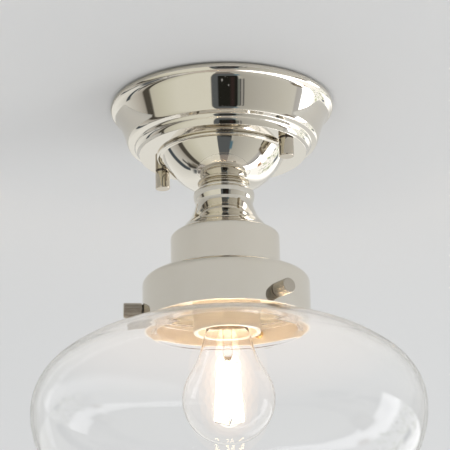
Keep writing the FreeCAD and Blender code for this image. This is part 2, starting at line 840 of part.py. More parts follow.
def make_glass():
    """Blown glass shade: a neck with a lip that rests on the screws, a broad shoulder and a deep bowl."""
    wall = size("glass_wall")
    neck = size("glass_neck_radius")
    lip = size("glass_lip_radius")
    lip_foot = screw_depth - size("screw_radius") - size("glass_screw_gap")
    lip_top = lip_foot - size("glass_lip_height")
    curl = size("glass_lip_round")
    belly = size("glass_radius")
    belly_depth = screw_depth + size("glass_belly_drop")
    upper = size("glass_upper_angle")
    shoulder = size("glass_shoulder_angle")
    lower = size("glass_lower_angle")

    def upper_point(bend):
        return (belly - size("glass_upper_bend") + bend * cosine(upper), -belly_depth + bend * sine(upper))

    def shoulder_point(inset):
        start = upper_point(size("glass_upper_bend"))
        reach = size("glass_shoulder_bend")
        centre = (start[0] - reach * cosine(upper), start[1] - reach * sine(upper))
        bend = reach - inset
        return (centre[0] + bend * cosine(shoulder), centre[1] + bend * sine(shoulder))

    def lower_point(bend):
        return (belly - size("glass_lower_bend") + bend * cosine(lower), -belly_depth - bend * sine(lower))

    def bowl_bend(bend):
        return lower_point(bend)[0] / cosine(lower)

    def neck_foot_point(inset, bend):
        end = shoulder_point(inset)
        side = neck - inset
        slope = cosine(shoulder) / sine(shoulder)
        start_up = end[1] + (end[0] - side - bend) * slope
        return (side, start_up + bend * 0.9), (side + bend * 0.8, start_up + bend * 0.04)

    outer_neck, outer_fold = neck_foot_point(size("glass_wall") * 0, size("glass_neck_bend"))
    inner_neck, inner_fold = neck_foot_point(wall, size("glass_neck_bend") + wall)
    bowl = bowl_bend(size("glass_lower_bend"))
    bowl_middle = lower_point(size("glass_lower_bend"))[1] + bowl * sine(lower)
    turned("glass_shade", [
        (neck - wall, -lip_top),
        (lip - curl, -lip_top),
        (lip, -(lip_top + curl), curl, "right"),
        (lip, -(lip_foot - curl)),
        (lip - curl, -lip_foot, curl, "right"),
        (neck, -lip_foot),
        outer_neck,
        (outer_fold[0], outer_fold[1], size("glass_neck_bend"), "left"),
        shoulder_point(size("glass_wall") * 0),
        upper_point(size("glass_upper_bend")) + (size("glass_shoulder_bend"), "right"),
        (belly, -belly_depth, size("glass_upper_bend"), "right"),
        lower_point(size("glass_lower_bend")) + (size("glass_lower_bend"), "right"),
        (0, bowl_middle - bowl, bowl, "right"),
        (0, bowl_middle - bowl + wall),
        lower_point(size("glass_lower_bend") - wall) + (bowl - wall, "left"),
        (belly - wall, -belly_depth, size("glass_lower_bend") - wall, "left"),
        upper_point(size("glass_upper_bend") - wall) + (size("glass_upper_bend") - wall, "left"),
        shoulder_point(wall) + (size("glass_shoulder_bend") - wall, "left"),
        inner_fold,
        (inner_neck[0], inner_neck[1], size("glass_neck_bend") + wall, "right"),
    ])


def make_holder():
    """Lamp holder: metal cup, saddle, porcelain body, screw shell, centre contact and terminals."""
    cup = size("cup_radius")
    top = cup_top
    foot = cup_top + size("cup_height")
    corner = size("cup_corner")
    lip = size("cup_lip_radius")
    rim = size("cup_lip_height") / 2
    inner = cup - sheet_wall
    bend = corner - sheet_wall
    turned("holder_cup", [
        (tube_hole, -top), (cup - corner, -top), (cup, -(top + corner), corner, "right"),
        (cup, -(foot - rim)), (cup - rim, -foot, rim, "right"), (lip + rim, -foot),
        (lip, -(foot - rim), rim, "right"), (lip + rim, -(foot - rim * 2), rim, "right"),
        (inner, -(foot - rim * 2)), (inner, -(top + corner)), (inner - bend, -cup_roof, bend, "left"),
        (tube_hole, -cup_roof)])
    half_length = size("saddle_length") / 2
    half_width = size("saddle_width") / 2
    plate = block("saddle_plate", (-half_length, -half_width, -porcelain_top),
                  (half_length, half_width, -saddle_top))
    offset = size("saddle_screw_offset")
    thickness = size("saddle_thickness")
    holes = [rod("saddle_tube_hole", (0, 0, -porcelain_top), tube_radius, thickness)]
    screws = []
    sockets = []
    for sign, label in ((1, "right"), (-1, "left")):
        spot = (offset * sign, 0, -porcelain_top)
        holes.append(rod("saddle_hole_" + label, spot, size("saddle_screw_radius"), thickness))
        deep = (offset * sign, 0, -(saddle_top + size("saddle_screw_length")))
        shank = rod("saddle_screw_" + label, deep, size("saddle_screw_radius"), size("saddle_screw_length"))
        head = rod("saddle_screw_head_" + label, (offset * sign, 0, -saddle_top),
                   size("saddle_screw_head_radius"), size("saddle_screw_head_height"))
        screws.append(fused("saddle_screw_whole_" + label, [shank, head]))
        sockets.append(rod("saddle_socket_" + label, deep, size("saddle_screw_radius"),
                           size("saddle_screw_length")))
    keep(cut("saddle", plate, fused("saddle_holes", holes)), "holder_saddle")
    grouped("saddle_screws", screws)

    body_radius = size("porcelain_radius")
    body_foot = socket_floor + size("socket_depth")
    round_edge = size("porcelain_round")
    socket = size("bulb_cap_radius") + size("running_gap") + size("shell_sheet")
    floor = socket_floor
    recess = size("recess_radius")
    recess_foot = porcelain_top + size("recess_depth")
    porcelain = turned("porcelain_core", [
        (recess, -porcelain_top), (body_radius - round_edge, -porcelain_top),
        (body_radius, -(porcelain_top + round_edge), round_edge, "right"),
        (body_radius, -(body_foot - round_edge)),
        (body_radius - round_edge, -body_foot, round_edge, "right"),
        (socket, -body_foot), (socket, -floor), (0, -floor), (0, -recess_foot), (recess, -recess_foot)])
    parts.remove(porcelain)
    side = size("terminal_width") / 2
    terminal = size("terminal_offset")
    pocket_foot = porcelain_top + size("terminal_depth")
    channel = size("wire_radius") * 2 + size("wire_offset")
    pockets = list(sockets)
    terminals = []
    heads = []
    for sign, label in ((1, "far"), (-1, "near")):
        middle = terminal * sign
        pockets.append(block("terminal_pocket_" + label, (-side, middle - side, -pocket_foot),
                             (side, middle + side, -porcelain_top)))
        inner_end = middle - side * sign
        ends = (0, inner_end) if sign > 0 else (inner_end, 0)
        pockets.append(block("wire_channel_" + label, (-channel, ends[0], -recess_foot),
                             (channel, ends[1], -porcelain_top)))
        brass = block("terminal_brass_" + label, (-side, middle - side, -pocket_foot),
                      (side, middle + side, -(porcelain_top + size("terminal_screw_head_height"))))
        hole = rod("terminal_hole_" + label, (0, middle, -pocket_foot), size("terminal_screw_radius"),
                   size("terminal_depth"))
        terminals.append(cut("terminal_" + label, brass, hole))
        shank = rod("terminal_shank_" + label, (0, middle, -pocket_foot), size("terminal_screw_radius"),
                    size("terminal_depth") - size("terminal_screw_head_height"))
        head = rod("terminal_head_" + label, (0, middle, -(porcelain_top + size("terminal_screw_head_height"))),
                   size("terminal_screw_head_radius"), size("terminal_screw_head_height"))
        heads.append(fused("terminal_screw_" + label, [shank, head]))
    keep(cut("porcelain", porcelain, fused("porcelain_pockets", pockets)), "porcelain_body")
    grouped("holder_terminals", terminals)
    grouped("holder_terminal_screws", heads)

    shell = socket
    shell_top = floor + size("holder_contact_sheet")
    turned("screw_shell", [
        (shell - size("shell_sheet"), -shell_top), (shell, -shell_top),
        (shell, -(shell_top + size("shell_length"))),
        (shell - size("shell_sheet"), -(shell_top + size("shell_length")))])
    disc = size("holder_contact_radius")
    button = size("holder_button_radius")
    disc_foot = floor + size("holder_contact_sheet")
    turned("centre_contact", [
        (0, -floor), (disc, -floor), (disc, -disc_foot), (button, -disc_foot),
        (button * 0.6, -(contact_foot - size("holder_contact_sheet") * 0.4)), (button * 0.25, -contact_foot),
        (0, -contact_foot)])


def make_bulb():
    """Clear filament bulb with a screw cap."""
    radius = size("bulb_radius")
    middle = bulb_foot - radius
    angle = size("bulb_shoulder_angle")
    wall = size("bulb_wall")
    collar = size("bulb_collar_radius")
    collar_depth = bulb_top + size("bulb_collar_drop")
    neck = size("bulb_neck_radius")
    neck_depth = bulb_top + size("bulb_neck_drop")
    inside_cap = size("bulb_cap_root_radius") - size("bulb_cap_sheet")
    glass_top = collar_depth - size("bulb_neck_in_cap")

    def ball_point(bend):
        return (bend * cosine(angle), -middle + bend * sine(angle))

    def neck_bend(bend, inset):
        start = ball_point(bend)
        across = start[0] - (neck - inset)
        up = -neck_depth - start[1]
        outward = up * sine(angle) - across * cosine(angle)
        return (across * across + up * up) / (outward * 2)

    turned("bulb_glass", [
        (inside_cap - wall, -glass_top), (inside_cap, -glass_top),
        (inside_cap, -(collar_depth - wall)), (collar, -collar_depth),
        (neck, -neck_depth),
        ball_point(radius) + (neck_bend(radius, 0), "left"),
        (radius, -middle, radius, "right"),
        (0, -bulb_foot, radius, "right"),
        (0, -(bulb_foot - wall)),
        (radius - wall, -middle, radius - wall, "left"),
        ball_point(radius - wall) + (radius - wall, "left"),
        (neck - wall, -neck_depth, neck_bend(radius - wall, wall), "right"),
        (inside_cap - wall, -collar_depth),
    ])
    contact_end = bulb_top + size("bulb_contact_height")
    insulator_end = contact_end + size("insulator_height")
    contact = size("bulb_contact_radius")
    turned("bulb_contact", [
        (0, -bulb_top), (contact * 0.5, -bulb_top), (contact, -(bulb_top + size("bulb_contact_height") * 0.6)),
        (contact, -contact_end), (0, -contact_end)])
    turned("bulb_insulator", [
        (0, -contact_end), (contact * 1.15, -contact_end), (size("insulator_foot_radius"), -insulator_end),
        (0, -insulator_end)])
    crest = size("bulb_cap_radius")
    valley = size("bulb_cap_root_radius")
    plate = size("bulb_cap_sheet")
    pitch = size("thread_pitch")
    base = insulator_end + size("seat_gap")
    first = base + (crest - size("insulator_foot_radius")) * 0.5
    shoulder = size("insulator_foot_radius")
    outline = [(shoulder - plate, -base), (shoulder, -base), (valley, -first)]
    for index in range(SIZES["thread_count"]):
        level = first + pitch * index
        outline.append((crest, -(level + pitch * 0.5), seat_bend(crest - valley, pitch * 0.5), "right"))
        outline.append((valley, -(level + pitch), seat_bend(crest - valley, pitch * 0.5), "right"))
    rim = collar_depth - wall
    outline.append((valley, -(rim - wall - plate)))
    outline.append((collar, -(rim - plate)))
    outline.append((collar, -rim))
    outline.append((valley - plate, -(rim - wall)))
    outline.append((valley - plate, -(first + plate)))
    turned("bulb_cap", outline)
    flare = size("stem_flare_radius")
    stem = size("stem_radius")
    stem_top = bulb_top + size("stem_flare_drop")
    tip = bulb_top + size("stem_tip_drop")
    turned("bulb_stem", [
        (0, -(stem_top + wall)), (flare * 0.9, -stem_top), (flare * 0.9, -(stem_top + wall)),
        (stem, -(stem_top + flare), seat_bend(flare * 0.9 - stem, flare - wall), "left"),
        (stem, -(tip - stem)), (stem * 0.6, -tip), (0, -tip)])
    make_filaments(tip)


def make_filaments(tip):
    """Slanting light sticks round the stem, and the wires that hold them."""
    top = bulb_top.value + SIZES["filament_top_drop"]
    high = SIZES["filament_top_offset"]
    low = SIZES["filament_foot_offset"]
    length = SIZES["filament_length"]
    radius = SIZES["filament_radius"]
    wire = SIZES["support_wire_radius"]
    drop = math.sqrt(length * length - (low - high) ** 2)
    sticks = []
    wires = []
    end_gap = 2 * wire
    hub = top + drop + 3 * radius
    wires.append(Part.makeCylinder(wire, hub - tip.value + wire, FreeCAD.Vector(0, 0, -hub - wire)))
    for index in range(SIZES["filament_count"]):
        angle = 2 * math.pi * (index + 0.5) / SIZES["filament_count"]
        out = FreeCAD.Vector(math.cos(angle), math.sin(angle), 0)
        head = out * high + FreeCAD.Vector(0, 0, -top)
        foot = out * low + FreeCAD.Vector(0, 0, -top - drop)
        along = (foot - head).normalize()
        sticks.append(Part.makeCylinder(radius, length, head, along))
        upper = head - along * end_gap
        lower = foot + along * end_gap
        wires.append(link(head, upper, wire))
        wires.append(link(foot, lower, wire))
        wires.append(link(FreeCAD.Vector(0, 0, -tip.value - wire), upper, wire))
        wires.append(link(FreeCAD.Vector(0, 0, -hub), lower, wire))
    feature("bulb_filaments", Part.makeCompound(sticks))
    feature("bulb_supports", wires[0].multiFuse(wires[1:]))


def link(start, end, radius):
    """A short round wire between two points."""
    rod_shape = Part.makeCylinder(radius, (end - start).Length, start, end - start)
    return rod_shape.fuse(Part.makeSphere(radius, end))


def feature(name, shape):
    """Keep a shape made directly as one of the light's pieces."""
    item = doc.addObject("Part::Feature", name + "_shape")
    item.Shape = shape
    return keep(item, name)


def wire_shape(points, bend):
    """A round wire along straight runs joined by tangent arcs."""
    edges = []
    start = points[0]
    for index in range(1, len(points) - 1):
        corner = points[index]
        back = (points[index - 1] - corner).normalize()
        ahead = (points[index + 1] - corner).normalize()
        turn = math.pi - back.getAngle(ahead)
        cut_back = bend * math.tan(turn / 2)
        entry = corner + back * cut_back
        leave = corner + ahead * cut_back
        middle = (back + ahead).normalize()
        peak = corner + middle * (cut_back / math.sin(turn / 2) - bend)
        edges.append(Part.makeLine(start, entry))
        edges.append(Part.Arc(entry, peak, leave).toShape())
        start = leave
    edges.append(Part.makeLine(start, points[-1]))
    path = Part.Wire(edges)
    section = Part.Wire([Part.makeCircle(SIZES["wire_radius"], points[0], points[1] - points[0])])
    return path.makePipeShell([section], True, False)


def make_wiring():
    """Terminal block on the strap, its screws, and the three wires that leave it."""
    half = size("block_length") / 2
    near = size("block_near_side")
    far = near + size("block_width")
    top = strap_thickness
    foot = top + size("block_height")
    body = block("block_body", (-half, -far, -foot), (half, -near, -top))
    bore_depth = top + size("block_height") * 0.55
    bores = []
    screws = []
    for place in (-1, 0, 1):
        across = size("block_pitch") * place
        label = str(place + 2)
        bore = doc.addObject("Part::Cylinder", "block_bore_" + label)
        bind(bore, "Radius", size("block_bore_radius"))
        bind(bore, "Height", size("block_width"))
        settle(bore, (across, -near, -bore_depth), FreeCAD.Rotation(FreeCAD.Vector(1, 0, 0), 90))
        bores.append(bore)
        for row, share in (("near", 0.27), ("far", 0.73)):
            spot = (across, -(near + size("block_width") * share), -foot)
            bores.append(rod("block_well_" + row + label, spot, size("block_screw_radius"),
                             size("block_height") * 0.45))
            low = foot - size("block_screw_sink")
            screws.append(rod("block_screw_" + row + label, (spot[0], spot[1], -low),
                              size("block_screw_radius"), low - bore_depth - size("wire_radius")))
    fixing = (size("block_pitch") / 2, -block_middle(), -foot)
    fixing_bore = rod("block_fixing_bore", fixing, size("saddle_screw_radius"), size("block_height"))
    keep(cut("terminal_strip", body, fused("block_bores", bores + [fixing_bore])), "terminal_block")
    grouped("terminal_block_screws", screws)
    shank = rod("block_fixing_shank", fixing, size("saddle_screw_radius"), size("block_height") + strap_thickness)
    head_spot = (fixing[0], fixing[1], -(foot + size("saddle_screw_head_height")))
    head = rod("block_fixing_head", head_spot, size("saddle_screw_head_radius"), size("saddle_screw_head_height"))
    keep(fused("block_fixing", [shank, head]), "terminal_block_fixing_screw")

    level = -bore_depth.value
    tube_mouth = -tube_top.value
    tube_middle = -(tube_top.value + tube_end.value) / 2
    entry = -(near.value + SIZES["block_width"] * 0.45)
    face = -near.value
    foot_level = -(porcelain_top.value + SIZES["recess_depth"] - SIZES["wire_radius"] - 0.3)
    terminal = SIZES["terminal_offset"] - SIZES["terminal_width"] / 2
    pitch = SIZES["block_pitch"]
    offset = SIZES["wire_offset"]
    for name, start, side, reach in (("live_wire", -pitch, -offset, terminal), ("neutral_wire", 0.0, offset, -terminal)):
        upper = [FreeCAD.Vector(start, entry, level), FreeCAD.Vector(start, face / 2, level),
                 FreeCAD.Vector(side, 0, (level + tube_mouth) / 2)]
        lower = [FreeCAD.Vector(side, 0, foot_level), FreeCAD.Vector(side, reach, foot_level)]
        feature(name, two_bends(upper, lower, tube_middle))
    tail = SIZES["tag_ring_radius"] + SIZES["tag_tail_length"]
    wire_drop = -tag_top.value
    earth_points = [FreeCAD.Vector(pitch, entry, level), FreeCAD.Vector(pitch, face / 2, level),
                    FreeCAD.Vector(tail - 3, face / 2, (level + wire_drop) / 2), FreeCAD.Vector(tail - 3, 0, wire_drop + 8),
                    FreeCAD.Vector(tail - 3, 0, wire_drop)]
    feature("earth_wire", wire_shape(earth_points[:4] + [earth_points[4]], SIZES["wire_bend"]))
    tail_half = size("tag_tail_width") / 2
    disc = rod("tag_ring", (0, 0, -tag_level), size("tag_ring_radius"), size("tag_thickness"))
    strip = block("tag_tail", (tube_radius * 1.2, -tail_half, -tag_level),
                  (size("tag_ring_radius") + size("tag_tail_length"), tail_half, -(tag_level - size("tag_thickness"))))
    tag = fused("tag_plate", [disc, strip])
    tag_hole = rod("tag_hole", (0, 0, -tag_level), tube_radius, size("tag_thickness"))
    keep(cut("tag", tag, tag_hole), "earth_tag")


def two_bends(upper, lower, halfway):
    """A wire with easy bends above and a tighter one at its foot, joined at a height in the tube."""
    easy = SIZES["wire_bend"]
    middle = FreeCAD.Vector(upper[-1].x, upper[-1].y, halfway)
    first = wire_shape(upper + [middle], easy)
    second = wire_shape([middle] + lower, SIZES["wire_foot_bend"])
    return first.fuse(second).removeSplitter()


def make_earth_screw():
    """Earth screw in the strap."""
    across = size("earth_screw_offset")
    reach = size("earth_screw_head_radius") * 1.1
    half_slot = size("earth_slot_width") / 2
    head_foot = strap_thickness + size("earth_screw_head_height")
    shank = rod("earth_shank", (across, 0, -strap_thickness), size("stud_radius"), strap_thickness)
    head = rod("earth_head", (across, 0, -head_foot), size("earth_screw_head_radius"),
               size("earth_screw_head_height"))
    slot = block("earth_slot", (across - reach, -half_slot, -head_foot),
                 (across + reach, half_slot, -(head_foot - size("earth_slot_depth"))))
    keep(cut("earth_slotted", fused("earth_whole", [shank, head]), slot), "earth_screw")


def check_everything():
    """Stop if any object has failed or any piece isn't a sound solid."""
    doc.recompute()
    for item in doc.Objects:
        if "Invalid" in item.State or "Error" in item.State:
            raise ValueError(item.Name + " failed: " + str(item.State))
    for item in parts:
        if item.Shape.isNull() or not item.Shape.isValid() or item.Shape.Volume <= 0:
            raise ValueError(item.Label + " isn't a sound solid")


def write_everything():
    """Write each piece to its own file."""
    os.makedirs("parts", exist_ok=True)
    for item in parts:
        item.Shape.exportStep(os.path.join("parts", item.Label + ".step"))
        print(item.Label, len(item.Shape.Solids), round(item.Shape.Volume))


make_strap()
make_studs()
make_rose()
make_rose_nuts()
make_dome()
make_tube()
make_neck()
make_gallery()
make_thumb_screws()
make_glass()
make_holder()
make_bulb()
make_wiring()
make_earth_screw()
check_everything()
write_everything()
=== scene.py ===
import math

import bpy
from mathutils import Euler, Matrix, Quaternion, Vector


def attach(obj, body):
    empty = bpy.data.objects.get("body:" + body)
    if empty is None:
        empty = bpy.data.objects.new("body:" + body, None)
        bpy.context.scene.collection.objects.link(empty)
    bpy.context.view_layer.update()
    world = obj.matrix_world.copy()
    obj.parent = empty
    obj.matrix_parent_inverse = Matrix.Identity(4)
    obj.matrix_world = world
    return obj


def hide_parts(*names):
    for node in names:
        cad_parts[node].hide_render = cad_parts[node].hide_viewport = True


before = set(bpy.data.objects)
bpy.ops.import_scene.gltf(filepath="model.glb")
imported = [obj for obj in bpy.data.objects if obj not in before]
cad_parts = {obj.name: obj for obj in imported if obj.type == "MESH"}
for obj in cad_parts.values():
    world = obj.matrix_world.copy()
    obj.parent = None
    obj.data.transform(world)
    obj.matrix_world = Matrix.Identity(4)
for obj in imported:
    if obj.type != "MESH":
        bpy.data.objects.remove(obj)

bl_info = {
    "name": "Semi flush ceiling light",
    "version": (1, 0, 0),
    "blender": (4, 5, 0),
    "location": "3D Viewport > Sidebar > Ceiling Light",
    "description": "Builds a polished nickel ceiling light with a clear glass shade round its packed frame",
    "category": "Object",
}

MM = 0.001
FULL_TURN = 2 * math.pi
FINE_STEPS = 144
SMALL_STEPS = 72
SHARP_EDGE = math.radians(35)
BORE = 5.15         # radius in millimetres of the holes for the threaded tube
SCREW_COUNT = 3
SCREW_TURN = 100    # degrees from X to the first thumb screw
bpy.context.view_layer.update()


# Sizes and colours that a user would change

def length(name, description, default):
    """A property for a length, with its default in millimetres."""
    return bpy.props.FloatProperty(
        name=name, description=description, default=default * MM, unit="LENGTH", subtype="DISTANCE",
        precision=5)


def colour(name, description, default):
    """A property for a colour."""
    return bpy.props.FloatVectorProperty(
        name=name, description=description, default=default, subtype="COLOR", size=3, min=0, max=1)


class RoseSizes(bpy.types.PropertyGroup):
    """Sizes of the ceiling rose and the dome under it."""

    rim: length("Rim radius", "Radius of the rolled rim against the ceiling", 75.2)
    neck: length("Neck radius", "Radius where the sloping wall starts", 72.0)
    foot: length("Wall foot radius", "Radius where the sloping wall ends", 64.4)
    depth: length("Depth", "Depth of the flat base under the ceiling", 35.6)
    sheet: length("Sheet", "Thickness of the spun sheet", 1.2)
    nut: length("Nut radius", "Radius of the plain nuts", 4.95)
    nut_offset: length("Nut offset", "Distance of each nut from the middle", 50.2)
    flange: length("Dome flange radius", "Radius of the dome's beaded flange", 44.3)


class NeckSizes(bpy.types.PropertyGroup):
    """Sizes of the turned neck."""

    collar: length("Collar radius", "Radius of the small collar", 17.3)
    bead: length("Bead radius", "Radius of the big bead", 20.4)
    top: length("Top depth", "Depth of the neck's top", 62.4)
    base: length("Foot depth", "Depth of the neck's foot", 92.3)


class GallerySizes(bpy.types.PropertyGroup):
    """Sizes of the two tier gallery."""

    cap: length("Cap radius", "Radius of the upper tier", 36.1)
    cap_corner: length("Cap corner", "Rounding of the upper tier", 3.2)
    skirt: length("Skirt radius", "Radius of the lower tier", 55.0)
    skirt_corner: length("Skirt corner", "Rounding of the lower tier", 5.2)
    joint: length("Joint depth", "Depth where the tiers meet", 122.5)
    rim: length("Rim depth", "Depth of the lower rim", 152.5)
    sheet: length("Sheet", "Thickness of the metal", 1.3)
    screw_depth: length("Screw depth", "Depth of the thumb screws", 144.5)
    head: length("Head radius", "Radius of a thumb screw's head", 4.85)
    head_start: length("Head start", "Distance of a head's near face from the middle", 55.6)
    head_length: length("Head length", "Length of a thumb screw's head", 11.8)


class GlassSizes(bpy.types.PropertyGroup):
    """Sizes of the blown glass shade."""

    belly: length("Belly radius", "Largest radius of the glass", 127.0)
    belly_depth: length("Belly depth", "Depth of the largest radius", 212.5)
    neck: length("Neck radius", "Radius of the neck", 48.0)
    wall: length("Wall", "Thickness of the glass", 2.4)


class BulbSizes(bpy.types.PropertyGroup):
    """Sizes of the lamp holder and its bulb."""

    cup: length("Cup radius", "Radius of the holder's cup", 22.2)
    cup_rim: length("Cup rim depth", "Depth of the cup's rim", 157.7)
    top: length("Contact depth", "Depth of the bulb's end contact", 126.1)
    ball: length("Ball radius", "Radius of the bulb's ball", 30.0)
    tall: length("Bulb length", "Length of the bulb", 107.2)


class FinishColours(bpy.types.PropertyGroup):
    """Colours of the finishes."""

    nickel: colour("Nickel", "Polished nickel plate", (0.79, 0.755, 0.69))
    zinc: colour("Zinc", "Bright zinc plate on the hidden fixings", (0.62, 0.63, 0.65))
    brass: colour("Brass", "Bright brass", (0.80, 0.58, 0.24))
    porcelain: colour("Porcelain", "Glazed porcelain", (0.86, 0.84, 0.78))
    glow: colour("Glow", "Light of the filaments", (1.0, 0.80, 0.50))
    ceiling: colour("Ceiling", "Painted ceiling", (0.618, 0.623, 0.626))


# Outlines, in millimetres of radius and height

def spoke(middle, radius, angle):
    """The point at an angle in degrees on a circle about a middle."""
    angle = math.radians(angle)
    return (middle[0] + radius * math.cos(angle), middle[1] + radius * math.sin(angle))


def sweep(middle, radius, start, end, steps):
    """Points along an arc about a middle, from one angle in degrees to another."""
    return [spoke(middle, radius, start + (end - start) * step / steps) for step in range(steps + 1)]


def through(start, middle, end, steps):
    """Points along the arc through three points."""
    (ax, ay), (bx, by), (cx, cy) = start, middle, end
    twice = 2 * (ax * (by - cy) + bx * (cy - ay) + cx * (ay - by))
    sa, sb, sc = ax * ax + ay * ay, bx * bx + by * by, cx * cx + cy * cy
    ox = (sa * (by - cy) + sb * (cy - ay) + sc * (ay - by)) / twice
    oy = (sa * (cx - bx) + sb * (ax - cx) + sc * (bx - ax)) / twice
    radius = math.hypot(ax - ox, ay - oy)
    first = math.atan2(ay - oy, ax - ox)
    halfway = (math.atan2(by - oy, bx - ox) - first + math.pi) % FULL_TURN - math.pi
    last = (math.atan2(cy - oy, cx - ox) - first) % FULL_TURN
    if halfway < 0:
        last -= FULL_TURN
    return sweep((ox, oy), radius, math.degrees(first), math.degrees(first + last), steps)


def bend(points, first, last, radius, steps=8):
    """Carry an outline on round an arc, its outward side turning from one slope in degrees to another."""
    side = radius if last < first else -radius
    first, last = math.radians(first), math.radians(last)
    middle = (points[-1][0] - side * math.cos(first), points[-1][1] - side * math.sin(first))
    turns = [first + (last - first) * step / steps for step in range(1, steps + 1)]
    return points + [(middle[0] + side * math.cos(turn), middle[1] + side * math.sin(turn)) for turn in turns]


def bends(points, *curves):
    """Carry an outline on round several arcs."""
    for curve in curves:
        points = bend(points, *curve)
    return points


def ahead(points, slope, reach):
    """Carry an outline straight on, its outward side at a slope in degrees."""
    slope = math.radians(slope)
    end = (points[-1][0] + reach * math.sin(slope), points[-1][1] - reach * math.cos(slope))
    return points + run(points[-1], end, 0.1)[1:]


def run(start, end, guard=0.25):
    """A straight run with a point close to each end, which keeps its shading flat."""
    reach = math.hypot(end[0] - start[0], end[1] - start[1])
    share = guard / reach
    if share > 0.3:
        return [start, end]
    near = (start[0] + (end[0] - start[0]) * share, start[1] + (end[1] - start[1]) * share)
    far = (end[0] + (start[0] - end[0]) * share, end[1] + (start[1] - end[1]) * share)
    return [start, near, far, end]


def runs(*corners):
    """Straight runs from corner to corner."""
    return chain(*(run(start, end) for start, end in zip(corners, corners[1:])))


def chain(*stretches):
    """Stretches joined end to end, without repeated points."""
    points = []
    for stretch in stretches:
        for point in stretch:
            if not points or math.hypot(point[0] - points[-1][0], point[1] - points[-1][1]) > 0.004:
                points.append(point)
    return points


# Modelling tools

def clear_selection():
    """Deselect everything in object mode."""
    if bpy.context.active_object and bpy.context.active_object.mode != "OBJECT":
        bpy.ops.object.mode_set(mode="OBJECT")
    bpy.ops.object.select_all(action="DESELECT")


def choose(piece):
    """Make one object the only selected and active one."""
    clear_selection()
    piece.select_set(True)
    bpy.context.view_layer.objects.active = piece


def name_piece(piece, name):
    """Name a piece and its mesh."""
    piece.name = name
    piece.data.name = name


def seed_point(name, place):
    """Start a piece from a single point, in edit mode."""
    clear_selection()
    bpy.ops.mesh.primitive_plane_add(size=MM)
    piece = bpy.context.active_object
    name_piece(piece, name)
    bpy.ops.object.mode_set(mode="EDIT")
    bpy.ops.mesh.select_mode(type="VERT")
    bpy.ops.mesh.select_all(action="SELECT")
    bpy.ops.mesh.merge(type="CENTER")
    bpy.ops.transform.translate(value=place)
    return piece


def turned(name, outline, steps=FINE_STEPS):
    """Draw an outline point by point, close it and spin it round Z."""
    places = [Vector((radius * MM, 0, height * MM)) for radius, height in outline]
    piece = seed_point(name, places[0])
    for before, after in zip(places, places[1:] + places[:1]):
        bpy.ops.mesh.extrude_vertices_move(TRANSFORM_OT_translate={"value": after - before})
    bpy.ops.mesh.select_all(action="SELECT")
    bpy.ops.mesh.remove_doubles(threshold=0.001 * MM)
    bpy.ops.mesh.spin(steps=steps, angle=FULL_TURN, center=(0, 0, 0), axis=(0, 0, 1))
    bpy.ops.mesh.select_all(action="SELECT")
    bpy.ops.mesh.remove_doubles(threshold=0.001 * MM)
    bpy.ops.mesh.normals_make_consistent(inside=False)
    bpy.ops.object.mode_set(mode="OBJECT")
    smooth(piece)
    return piece


def smooth(piece, angle=SHARP_EDGE):
    """Shade a piece smooth but for its sharp edges."""
    choose(piece)
    bpy.ops.object.shade_smooth_by_angle(angle=angle)


def settle(piece, matrix):
    """Move a piece's mesh to its place and leave the object at the origin."""
    piece.data.transform(matrix)
    piece.matrix_basis = Matrix.Identity(4)


def copied(first, name, matrix):
    """A named copy of a piece, moved to its place."""
    choose(first)
    bpy.ops.object.duplicate()
    piece = bpy.context.active_object
    name_piece(piece, name)
    settle(piece, matrix)
    return piece


def drop(piece):
    """Delete a piece."""
    choose(piece)
    bpy.ops.object.delete()


def fitted(piece, finish, *nodes, body="light", slot="polished_nickel"):
    """Give a piece its finish and its body, and hide the packed nodes it stands for. The slot is not used."""
    piece.data.materials.clear()
    piece.data.materials.append(FINISHES[finish])
    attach(piece, body)
    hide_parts(*nodes)


# Shader groups and finishes

def feed(tree, socket, item):
    """Give an input a number, a vector, a colour or a link."""
    if isinstance(item, bpy.types.NodeSocket):
        tree.links.new(item, socket)
    elif hasattr(item, "__len__"):
        socket.default_value = tuple(item) + (1,) * (len(socket.default_value) - len(item))
    else:
        socket.default_value = item


def fill(tree, node, **items):
    """Feed a node's inputs by their names, with underscores for spaces."""
    for label, item in items.items():
        feed(tree, node.inputs[label.replace("_", " ")], item)
    return node


def new_group(name, **inputs):
    """An empty shader group that puts out a colour, a roughness and a height."""
    tree = bpy.data.node_groups.new(name, "ShaderNodeTree")
    for label, default in inputs.items():
        kind = "NodeSocketColor" if isinstance(default, tuple) else "NodeSocketFloat"
        tree.interface.new_socket(name=label, in_out="INPUT", socket_type=kind).default_value = default
    for label, kind in (("Colour", "Color"), ("Roughness", "Float"), ("Height", "Float")):
        tree.interface.new_socket(name=label, in_out="OUTPUT", socket_type="NodeSocket" + kind)
    return tree, tree.nodes.new("NodeGroupInput").outputs, tree.nodes.new("NodeGroupOutput")


def math_node(tree, operation, first, second=None, clamp=False):
    """A math node fed by sockets or numbers."""
    node = tree.nodes.new("ShaderNodeMath")
    node.operation = operation
    node.use_clamp = clamp
    feed(tree, node.inputs[0], first)
    if second is not None:
        feed(tree, node.inputs[1], second)
    return node.outputs[0]


def times(tree, first, second):
    """The product of two sockets or numbers."""
    return math_node(tree, "MULTIPLY", first, second)


def plus(tree, first, second, clamp=False):
    """The sum of two sockets or numbers."""
    return math_node(tree, "ADD", first, second, clamp)


def blend_colours(tree, share, first, second):
    """A colour mix fed by sockets or colours."""
    node = tree.nodes.new("ShaderNodeMix")
    node.data_type = "RGBA"
    for socket, item in ((node.inputs["Factor"], share), (node.inputs[6], first), (node.inputs[7], second)):
        feed(tree, socket, item)
    return node.outputs[2]


